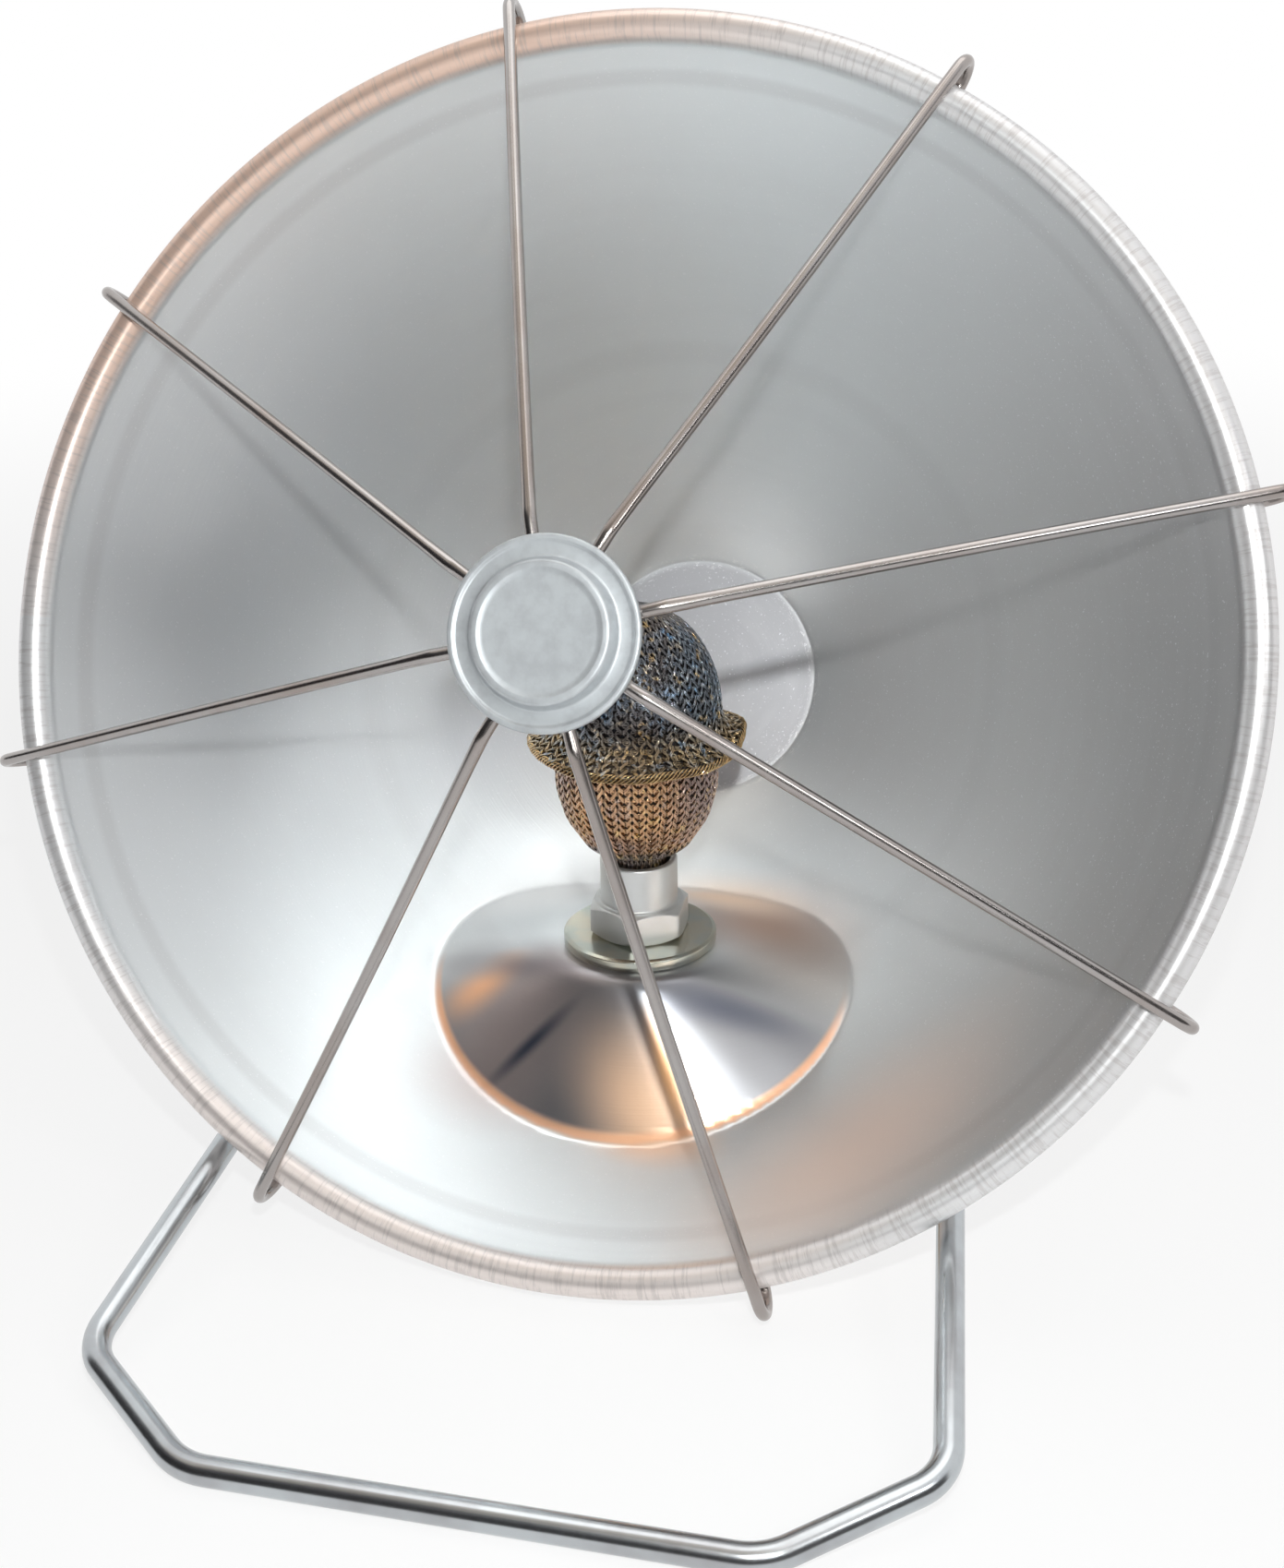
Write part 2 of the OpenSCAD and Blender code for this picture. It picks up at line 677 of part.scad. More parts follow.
module knob_screw() {
    color("silver") along_y(knob_y + knob_l - 9.5) difference() {
        union() {
            cylinder(d = 3, h = 7.5);
            translate([0, 0, 7.05]) cylinder(d = 6, h = 1.2);
            translate([0, 0, 8.25]) cylinder(d1 = 6, d2 = 4, h = 0.7);
        }
        translate([-0.4, -4, 8.1]) cube([0.8, 8, 2]);
        translate([-4, -0.4, 8.1]) cube([8, 0.8, 2]);
    }
}

module inlet_seal() {
    color("brown") along_x(side_x) ring(seal_d, inlet_thread_d + 2 * seat_fit, seal_t);
}

// Threaded shank, hexagon, a plain land for the hose and three barbs cut into it
module hose_tail() {
    hex_x = inlet_thread_l + seal_t;
    land_x = hex_x + tail_hex_l;
    color("gold") along_x(side_x - inlet_thread_l) difference() {
        union() {
            cylinder(d = inlet_thread_d, h = hex_x + 1);
            translate([0, 0, hex_x]) hexagon(tail_hex_af, tail_hex_l, true, true);
            translate([0, 0, land_x - 1]) cylinder(d = tail_d, h = land_l + 1);
            for (i = [0:2]) translate([0, 0, land_x + land_l + i * barb_l])
                cylinder(d1 = tail_d, d2 = tail_d - barb_fall, h = barb_l);
        }
        translate([0, 0, -1]) cylinder(d = tail_bore_d, h = land_x + land_l + 3 * barb_l + 2);
    }
}

// ---- stand loops ----

clip_d = rod_d + 4;
clip_t = 1.4;
clip_gap = 0.6;                       // between a clip and the ear it keeps
end_past = 2;                         // rod past its clip

front_end_x = ear_in - clip_gap - clip_t - end_past;
rear_end_x = ear_x + clip_gap + clip_t + end_past;

module front_leg() {
    half = [[front_end_x, 0], [front_half_w, 0], [front_wide, front_cut - front_len], [front_bar, -front_len]];
    other = [for (i = [3:-1:0]) [-half[i].x, half[i].y]];
    color("lightsteelblue") translate([0, burner_y + pivot_front, pivot_z]) rotate([front_slope, 0, 0])
        bent_rod(concat(half, other), [0, rod_bend, 12, 16, 16, 12, rod_bend, 0], rod_d);
}

module rear_leg() {
    half = [[rear_end_x, 0], [rear_half_w, 0], [rear_wide, rear_len - 18], [rear_bar, rear_len]];
    other = [for (i = [3:-1:0]) [-half[i].x, half[i].y]];
    color("lightsteelblue") translate([0, burner_y + pivot_rear, pivot_z]) rotate([-rear_slope, 0, 0])
        bent_rod(concat(half, other), [0, rod_bend, 12, 12, 12, 12, rod_bend, 0], rod_d);
}

module rod_clip(x, y) {
    translate([x, burner_y + y, pivot_z]) rotate([0, 90, 0]) ring(clip_d, rod_d + 2 * seat_fit, clip_t);
}

module front_leg_clips() {
    color("dimgray") mirrored_x() rod_clip(ear_in - clip_gap - clip_t, pivot_front);
}

module rear_leg_clips() {
    color("dimgray") mirrored_x() rod_clip(ear_x + clip_gap, pivot_rear);
}

reflector();
for (i = [1:8]) guard_wire(wire_angles[i - 1]);
guard_hub_face();
guard_hub_back();
seat_washer();
burner_tube();
neck_ferrule();
mesh_cup();
mesh_dome();
brim_ring();
flame_spreader();
stand_bracket();
spring_washer();
lock_nut();
injector();
valve_body();
valve_spindle();
spindle_o_ring();
packing_nut();
control_knob();
knob_screw();
inlet_seal();
hose_tail();
front_leg();
front_leg_clips();
rear_leg();
rear_leg_clips();
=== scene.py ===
"""A parabolic gas heater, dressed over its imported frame.

The bowl, the guard, the knitted burner, the turned burner tube and the two wire loops are
modelled here as smooth surfaces worked out with numpy. The fastenings and the valve under the
bowl keep their own solids and get a finish. All lengths in the classes are millimetres in the
row frame, and every mesh is written in metres.
"""

from __future__ import annotations

import logging
from dataclasses import dataclass, field
from enum import Enum
from typing import Callable, Sequence, Union

import bmesh
import bpy
import numpy as np
from mathutils import Matrix, Vector


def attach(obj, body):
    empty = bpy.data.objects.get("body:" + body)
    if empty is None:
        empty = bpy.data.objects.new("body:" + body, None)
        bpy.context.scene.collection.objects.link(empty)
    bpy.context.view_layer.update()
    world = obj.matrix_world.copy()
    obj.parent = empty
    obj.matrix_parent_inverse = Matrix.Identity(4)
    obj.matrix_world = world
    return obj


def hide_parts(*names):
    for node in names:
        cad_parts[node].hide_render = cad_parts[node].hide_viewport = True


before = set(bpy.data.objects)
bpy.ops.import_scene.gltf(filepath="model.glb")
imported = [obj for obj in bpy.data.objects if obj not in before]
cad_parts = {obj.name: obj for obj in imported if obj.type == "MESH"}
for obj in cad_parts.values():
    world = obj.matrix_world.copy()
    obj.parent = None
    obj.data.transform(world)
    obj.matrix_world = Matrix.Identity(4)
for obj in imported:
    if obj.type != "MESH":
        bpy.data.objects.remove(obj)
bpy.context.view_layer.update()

LOG = logging.getLogger("heater")
MM = 0.001
TAU = 2.0 * np.pi
TINY = 1e-9
DOME_SHARE = 0.6
WHITE = (1.0, 1.0, 1.0)
Array = np.ndarray
Thing = bpy.types.Object
Material = bpy.types.Material
Colour = tuple[float, float, float]
Point = Sequence[float]
Rows = tuple[tuple[float, ...], ...]
EY, EZ = np.eye(3)[1:]


# Lengths that several pieces share ------------------------------------------


@dataclass(frozen=True)
class Layout:
    """Where the heater's parts stand in the row frame, in millimetres."""

    tilt: float = np.radians(22.0)
    rim_centre: tuple[float, float, float] = (0.0, 2.7, 133.306)
    burner_y: float = 30.0
    seat_z: float = 50.35
    washer_z: float = 53.35
    hex_z: float = 61.35
    tube_z: float = 72.35
    brim_z: float = 103.05
    dome_z: float = 135.35
    pivot_z: float = 36.85
    front_pivot_y: float = 28.0
    rear_pivot_y: float = 46.0
    dish_r: float = 140.0
    bead_r: float = 136.5
    bead_d: float = 7.0
    wall_r: float = 133.0
    flat_r: float = 31.0
    depth: float = 107.0
    sheet: float = 1.0

    @property
    def wall_k(self) -> float:
        """Curvature of the wall, where its height is wall_k * r^2 - wall_h."""
        return self.depth / (self.wall_r**2 - self.flat_r**2)

    @property
    def wall_h(self) -> float:
        """Depth that the wall's parabola would have on its axis."""
        return self.depth + self.wall_k * self.flat_r**2

    def axes(self) -> Array:
        """Unit vectors of the bowl as rows: across, up in the rim plane, out of the mouth."""
        s, c = np.sin(self.tilt), np.cos(self.tilt)
        return np.array([[1.0, 0.0, 0.0], [0.0, s, c], [0.0, -c, s]])

    def from_bowl(self, x: Array, v: Array, w: Array) -> Array:
        """Turns bowl coordinates into row-frame points.

        Args:
            x: Distance across.
            v: Distance up in the rim plane.
            w: Height above the rim plane, out of the mouth.

        Returns:
            Points with a last axis of three.
        """
        return self.rim_centre + np.stack([x, v, w], axis=-1) @ self.axes()

    def wall_height(self, x: Array, y: Array) -> Array:
        """Height of the inner wall above the floor at a place seen from above.

        The vertical line through (x, y) is put into the parabola, which gives a quadratic in
        the height; its lower root is the lower wall.

        Args:
            x: Distance across.
            y: Distance back.

        Returns:
            The height.
        """
        s, c = np.sin(self.tilt), np.cos(self.tilt)
        v = y - self.rim_centre[1]
        qa = self.wall_k * c * c
        qb = 2 * self.wall_k * v * s * c - s
        qc = self.wall_k * (x * x + v * v * s * s) - self.wall_h + v * c
        root = np.sqrt(np.maximum(qb * qb - 4 * qa * qc, 0.0))
        return self.rim_centre[2] - (qb + root) / (2 * qa)


LAYOUT = Layout()


# Meshes ---------------------------------------------------------------------


def add_object(name: str, data: bpy.types.ID) -> Thing:
    """Puts a new object into the scene, at the origin.

    Args:
        name: The object's name.
        data: Its mesh, camera or lamp.

    Returns:
        The new object.
    """
    thing = bpy.data.objects.new(name, data)
    bpy.context.scene.collection.objects.link(thing)
    return thing


def link_mesh(name: str, points: Array, faces: Array, smooth: bool = True) -> Thing:
    """Makes an object of points in millimetres and faces of one size.

    Args:
        name: The piece's name.
        points: Array of n by 3.
        faces: Array of m by 3 or m by 4 point numbers.
        smooth: Whether the faces are shaded smooth.

    Returns:
        The new object, at the origin.
    """
    mesh = bpy.data.meshes.new(name)
    count, sides = faces.shape
    mesh.vertices.add(len(points))
    mesh.vertices.foreach_set("co", (points * MM).astype(np.float32).ravel())
    mesh.loops.add(count * sides)
    mesh.loops.foreach_set("vertex_index", faces.astype(np.int32).ravel())
    mesh.polygons.add(count)
    mesh.polygons.foreach_set("loop_start", np.arange(count, dtype=np.int32) * sides)
    mesh.polygons.foreach_set("use_smooth", np.full(count, smooth))
    mesh.update(calc_edges=True)
    mesh.validate()
    return add_object(name, mesh)


def grid_faces(rows: int, cols: int, wrap_rows: bool, wrap_cols: bool) -> Array:
    """Quads of a grid whose point (i, j) has number i * cols + j.

    Args:
        rows: Points along the first parameter.
        cols: Points along the second parameter.
        wrap_rows: Whether the last row joins the first.
        wrap_cols: Whether the last column joins the first.

    Returns:
        Array of quads.
    """
    i, j = np.mgrid[: rows - (not wrap_rows), : cols - (not wrap_cols)]
    i1, j1 = (i + 1) % rows, (j + 1) % cols
    quads = np.stack([i * cols + j, i * cols + j1, i1 * cols + j1, i1 * cols + j], axis=-1)
    return quads.reshape(-1, 4)


def face_out(thing: Thing) -> None:
    """Merges doubled points and turns every face outwards.

    Args:
        thing: The piece.
    """
    work = bmesh.new()
    work.from_mesh(thing.data)
    bmesh.ops.remove_doubles(work, verts=work.verts, dist=1e-7)
    bmesh.ops.dissolve_degenerate(work, edges=work.edges, dist=1e-8)
    bmesh.ops.recalc_face_normals(work, faces=work.faces)
    work.to_mesh(thing.data)
    work.free()
    thing.data.update()


def surface(name: str, points: Array, wrap_rows: bool = False) -> Thing:
    """Makes a skin over a grid of points whose last column joins its first.

    Args:
        name: The piece's name.
        points: Array of rows by columns by 3.
        wrap_rows: Whether the last row joins the first.

    Returns:
        The new object, with its faces outward.
    """
    rows, cols = points.shape[:2]
    thing = link_mesh(name, points.reshape(-1, 3), grid_faces(rows, cols, wrap_rows, True))
    face_out(thing)
    return thing


def around(turns: int) -> Array:
    """Even angles round a full turn."""
    return np.arange(turns) / turns * TAU


def bell(a: Array, centre: float, width: float) -> Array:
    """A bell curve over the angle from a direction, in radians."""
    return np.exp(-((np.angle(np.exp(1j * (a - centre))) / width) ** 2))


def rounded_profile(corners: Sequence[tuple[float, float, float]], step: float = 10.0) -> Array:
    """A polyline whose corners are rounded by arcs.

    Each corner (a, b, radius) is replaced by points on the circle that touches both of its
    edges; a radius of nought keeps the corner sharp. Points are kept as complex numbers.

    Args:
        corners: The corners in order.
        step: Degrees between the points of an arc.

    Returns:
        Array of n by 2.
    """
    raw = np.array([complex(a, b) for a, b, _ in corners])
    out = [raw[:1]]
    for before, here, after, (_, _, radius) in zip(raw, raw[1:], raw[2:], corners[1:]):
        back, ahead = before - here, after - here
        shorter = min(abs(back), abs(ahead))
        back, ahead = back / abs(back), ahead / abs(ahead)
        half = 0.5 * abs(np.angle(ahead / back))
        if radius <= 0 or abs(half - np.pi / 2) < 1e-4:
            out.append([here])
            continue
        take = min(radius / np.tan(half), 0.499 * shorter)
        middle = back + ahead
        centre = here + middle / abs(middle) * take / np.cos(half)
        start, end = here + back * take - centre, here + ahead * take - centre
        sweep = np.angle(end / start)
        count = max(2, int(np.ceil(abs(np.degrees(sweep)) / step)) + 1)
        out.append(centre + start * np.exp(1j * np.linspace(0, sweep, count)))
    line = np.concatenate([*out, raw[-1:]])
    return np.stack([line.real, line.imag], axis=-1)


def revolve(
    name: str, profile: Array, centre: Point, axis: Array, up: Array, turns: int = 128
) -> Thing:
    """Turns a profile of (radius, height) round an axis.

    Each point is centre + radius * (cos a * side + sin a * up) + height * axis.

    Args:
        name: The piece's name.
        profile: Array of n by 2; a radius of nought closes the surface at a pole.
        centre: The axis's origin.
        axis: Unit vector along the axis.
        up: Unit vector square to it.
        turns: Points round the axis.

    Returns:
        The new object.
    """
    a = around(turns)[:, None]
    r, h = profile.T[:, :, None, None]
    ring = np.cos(a) * np.cross(up, axis) + np.sin(a) * up
    return surface(name, centre + r * ring + h * axis)


def tube(
    name: str, path: Array, radius: float, normal: Array, sides: int, squash: Array | None = None
) -> Thing:
    """A round wire along a flat path, with domed ends.

    At each path point a ring of points stands square to the path: the ring's first axis is the
    plane's normal and its second is the normal crossed with the path's direction.

    Args:
        name: The piece's name.
        path: Array of n by 3.
        radius: The wire's radius.
        normal: Unit normal of the path's plane.
        sides: Points round the wire.
        squash: Factor on the ring's second axis for each point, with the first widened to suit.

    Returns:
        The new object.
    """
    squash = np.ones(len(path)) if squash is None else squash
    ahead = np.gradient(path, axis=0)
    ahead /= np.linalg.norm(ahead, axis=1)[:, None]
    # domed ends: a quarter of an oval of shrinking rings before and after the path
    q = np.linspace(0, np.pi / 2, 5)[:-1]
    dome = DOME_SHARE * radius * (1 - np.sin(q))[:, None]
    full = np.concatenate([path[0] - ahead[0] * dome, path, path[-1] + ahead[-1] * dome[::-1]])
    size = radius * np.concatenate([np.sin(q), np.ones(len(path)), np.sin(q[::-1])])
    ahead = np.pad(ahead, ((len(q), len(q)), (0, 0)), "edge")
    squash = np.pad(squash, len(q), "edge")
    a = around(sides)[:, None]
    wide, high = (size / np.sqrt(squash))[:, None, None], (size * squash)[:, None, None]
    across = np.cross(normal, ahead)[:, None]
    return surface(name, full[:, None] + wide * np.cos(a) * normal + high * np.sin(a) * across)


def wire_loops(
    name: str, path: Array, normal: Array, radius: float, shift: float = 0.0, sides: int = 4
) -> Thing:
    """Closed loops of thin wire as one piece.

    Each point of a loop gets the ring path + radius * (cos q * side + sin q * up), where side
    is the loop's direction crossed with the normal and up is side crossed with the direction.

    Args:
        name: The piece's name.
        path: Array of loops by points by 3.
        normal: A direction away from the loops' own, for all points or for each.
        radius: The wire's radius.
        shift: Part of a side by which the ring is turned.
        sides: Points round the wire.

    Returns:
        The new object.
    """
    ahead = np.roll(path, -1, axis=1) - np.roll(path, 1, axis=1)
    ahead /= np.linalg.norm(ahead, axis=-1)[..., None] + TINY
    side = np.cross(ahead, normal)
    side /= np.linalg.norm(side, axis=-1)[..., None] + TINY
    up = np.cross(side, ahead)
    q = ((np.arange(sides) + shift) / sides * TAU)[:, None]
    rings = path[:, :, None] + radius * (np.cos(q) * side[:, :, None] + np.sin(q) * up[:, :, None])
    count, long = path.shape[:2]
    first = (np.arange(count) * long * sides)[:, None, None]
    faces = (grid_faces(long, sides, True, True) + first).reshape(-1, 4)
    thing = link_mesh(name, rings.reshape(-1, 3), faces)
    face_out(thing)
    return thing


def refine(path: Array, longest: float) -> Array:
    """Adds points along straight stretches, so that no step is longer than a given length.

    Args:
        path: Array of n points.
        longest: The given length.

    Returns:
        The finer path.
    """
    out = [path[:1]]
    for a, b in zip(path[:-1], path[1:]):
        n = max(1, int(np.ceil(np.linalg.norm(b - a) / longest)))
        out.append(a + (b - a) * (np.arange(1, n + 1) / n)[:, None])
    return np.concatenate(out)


# Shader maths ---------------------------------------------------------------

Value = Union["Sock", float, int]


def math_operator(operation: str, swap: bool = False) -> Callable[["Sock", Value], "Sock"]:
    """An operator's method, which adds a Math node; a reflected one swaps the two values.

    Args:
        operation: The Math node's operation.
        swap: Whether the operator is reflected.

    Returns:
        The method.
    """

    def method(self: "Sock", other: Value) -> "Sock":
        """The Math node's value."""
        return self.math(operation, *((other, self) if swap else (self, other)))

    return method


class Sock:
    """A shader socket; an expression on it adds its Math nodes."""

    __add__, __radd__ = math_operator("ADD"), math_operator("ADD", True)
    __sub__, __rsub__ = math_operator("SUBTRACT"), math_operator("SUBTRACT", True)
    __mul__, __rmul__ = math_operator("MULTIPLY"), math_operator("MULTIPLY", True)
    __truediv__, __rtruediv__ = math_operator("DIVIDE"), math_operator("DIVIDE", True)

    def __init__(self, bench: Bench, socket: bpy.types.NodeSocket) -> None:
        """Keeps the socket and the node tree that it belongs to."""
        self.bench = bench
        self.socket = socket

    def math(self, operation: str, *values: Value) -> "Sock":
        """A Math node on the values."""
        made = self.bench.node("ShaderNodeMath", {"operation": operation}, dict(enumerate(values)))
        return made["Value"]

    def __abs__(self) -> "Sock":
        """The size of the value."""
        return self.math("ABSOLUTE", self)

    def angle_from(self, x: Value) -> "Sock":
        """Angle of the point (x, self), in radians."""
        return self.math("ARCTAN2", self, x)

    def root(self) -> "Sock":
        """Square root."""
        return self.math("SQRT", self)

    def ramp(self, low: float, high: float, smooth: bool = True) -> "Sock":
        """0 below low and 1 above high, eased between them; low may be the larger.

        Args:
            low: The value that gives 0.
            high: The value that gives 1.
            smooth: Whether the ends are eased.

        Returns:
            The share.
        """
        made = self.bench.node(
            "ShaderNodeMapRange",
            {"interpolation_type": "SMOOTHSTEP" if smooth else "LINEAR"},
            {"Value": self, "From Min": low, "From Max": high},
        )
        return made["Result"]

    def band(self, centre: float, half: float, soft: float) -> "Sock":
        """1 within half of the centre, falling to 0 over a soft edge."""
        return abs(self - centre).ramp(half + soft, half)


class Bench:
    """The node tree of a material or a world, with the single method that adds a node to it."""

    def __init__(self, name: str, holder: bpy.types.World | None = None) -> None:
        """Starts a material of that name, or empties the world that is given.

        Args:
            name: The material's name.
            holder: The world, if it is one.
        """
        self.holder = holder or bpy.data.materials.new(name)
        self.holder.use_nodes = True
        self.tree = self.holder.node_tree
        self.tree.nodes.clear()
        self._coordinates: dict[str, Sock] | None = None

    def node(
        self, kind: str, settings: dict[str, object] | None = None, values: dict | None = None
    ) -> dict[str, Sock]:
        """Adds a node.

        Args:
            kind: The node's type.
            settings: Properties that are set first; "stops" holds a ramp's stops.
            values: Numbers, colours, or sockets to link, by socket name or number.

        Returns:
            The node's outputs by name.
        """
        made = self.tree.nodes.new(kind)
        for key, setting in (settings or {}).items():
            if key == "stops":
                ramp = made.color_ramp
                while len(ramp.elements) < len(setting):
                    ramp.elements.new(0.5)
                for element, (place, colour) in zip(ramp.elements, setting):
                    element.position = place
                    element.color = (*colour, 1.0)
            else:
                setattr(made, key, setting)
        for key, value in (values or {}).items():
            socket = made.inputs[key]
            if isinstance(value, Sock):
                self.tree.links.new(value.socket, socket)
            elif socket.type == "RGBA" and len(value) == 3:
                socket.default_value = (*value, 1.0)
            else:
                socket.default_value = value
        return {s.name: Sock(self, s) for s in made.outputs if s.enabled}

    def place(self) -> dict[str, Sock]:
        """Object coordinates: the vector, and x, y and z in metres.

        Returns:
            The sockets "vector", "X", "Y" and "Z".
        """
        if self._coordinates is None:
            where = self.node("ShaderNodeTexCoord")["Object"]
            parts = self.node("ShaderNodeSeparateXYZ", None, {0: where})
            self._coordinates = {"vector": where, **parts}
        return self._coordinates

    def noise(
        self,
        scale: float,
        detail: float = 2.0,
        rough: float = 0.5,
        vector: Sock | None = None,
        stretch: tuple[float, float, float] | None = None,
    ) -> Sock:
        """Noise between 0 and 1.

        Args:
            scale: Cycles in a metre.
            detail: Octaves.
            rough: Share of the finer octaves.
            vector: Where to read it, object coordinates if left out.
            stretch: Factors on the vector's axes.

        Returns:
            The noise's value.
        """
        where = vector or self.place()["vector"]
        if stretch:
            times = {"operation": "MULTIPLY"}
            where = self.node("ShaderNodeVectorMath", times, {0: where, 1: stretch})["Vector"]
        made = self.node(
            "ShaderNodeTexNoise",
            {"noise_dimensions": "3D"},
            {"Vector": where, "Scale": scale, "Detail": detail, "Roughness": rough},
        )
        return made.get("Fac") or made["Factor"]

    def vector(self, x: Value, y: Value, z: Value) -> Sock:
        """A vector of three values."""
        return self.node("ShaderNodeCombineXYZ", None, {0: x, 1: y, 2: z})["Vector"]

    def mix(self, mask: Value, low: Sock | tuple, high: Sock | tuple) -> Sock:
        """Mixes two colours: low where the mask is 0, high where it is 1."""
        made = self.node("ShaderNodeMix", {"data_type": "RGBA"}, {0: mask, 6: low, 7: high})
        return made["Result"]

    def paint(self, ground: Sock | Colour, *coats: tuple[Value, Sock | Colour]) -> Sock:
        """Lays coats of (mask, colour) over a ground, one after the other.

        Args:
            ground: The first colour.
            *coats: The masks with their colours.

        Returns:
            The colour on top.
        """
        for mask, colour in coats:
            ground = self.mix(mask, ground, colour)
        return ground

    def colours(self, value: Sock, stops: Sequence[tuple[float, Colour]]) -> Sock:
        """A colour ramp over a value."""
        return self.node("ShaderNodeValToRGB", {"stops": stops}, {"Fac": value})["Color"]

    def bump(self, height: Sock, depth: float, strength: float = 1.0) -> Sock:
        """A normal from a height of 0 to 1 that stands for a depth in millimetres."""
        values = {"Height": height, "Strength": strength, "Distance": depth * MM}
        return self.node("ShaderNodeBump", None, values)["Normal"]

    def seen(self) -> Sock:
        """1 for rays from the camera, from reflections and through glass, 0 for the others."""
        rays = self.node("ShaderNodeLightPath")
        return rays["Is Camera Ray"] + rays["Is Glossy Ray"] + rays["Is Transmission Ray"]

    def glow(self, colour: Colour) -> Sock:
        """A shader that shines in one even colour."""
        return self.node("ShaderNodeEmission", None, {"Color": colour, "Strength": 1.0})["Emission"]

    def output(self, shader: Sock) -> Material:
        """Ends a material in the shader."""
        self.node("ShaderNodeOutputMaterial", None, {"Surface": shader})
        return self.holder

    def finish(self, values: dict[str, Value | Colour]) -> Material:
        """Ends a material in a Principled shader with these values."""
        return self.output(self.node("ShaderNodeBsdfPrincipled", None, values)["BSDF"])


def dress(thing: Thing, material: Material) -> None:
    """Gives a piece one material."""
    thing.data.materials.clear()
    thing.data.materials.append(material)


def crisp_edges(thing: Thing, degrees: float) -> None:
    """Splits the shading at edges sharper than an angle."""
    thing.modifiers.new("crisp", "EDGE_SPLIT").split_angle = np.radians(degrees)


# Finishes ------------------------------------------------------------------


@dataclass(frozen=True)
class PaintedPatch:
    """A soft oval of painted shade, highlight or warm reflection on the lower bowl, placed as seen
    from above, in millimetres.
    """

    x: float
    y: float
    length: float
    width: float
    turn: float
    colour: Colour
    share: float
    dull: float = 0.0

    def mask(self, b: Bench, x: Sock, y: Sock) -> Sock:
        """1 at the oval's middle, falling to 0 at its edge; x and y are in millimetres.

        Args:
            b: The material's bench; not used.
            x: Distance across.
            y: Distance back.

        Returns:
            The mask.
        """
        c, s = float(np.cos(np.radians(self.turn))), float(np.sin(np.radians(self.turn)))
        dx, dy = x - self.x, y - self.y
        along = (dx * c + dy * s) * (1.0 / self.length)
        aside = (dy * c - dx * s) * (1.0 / self.width)
        return (along * along + aside * aside).root().ramp(1.0, 0.0) * self.share


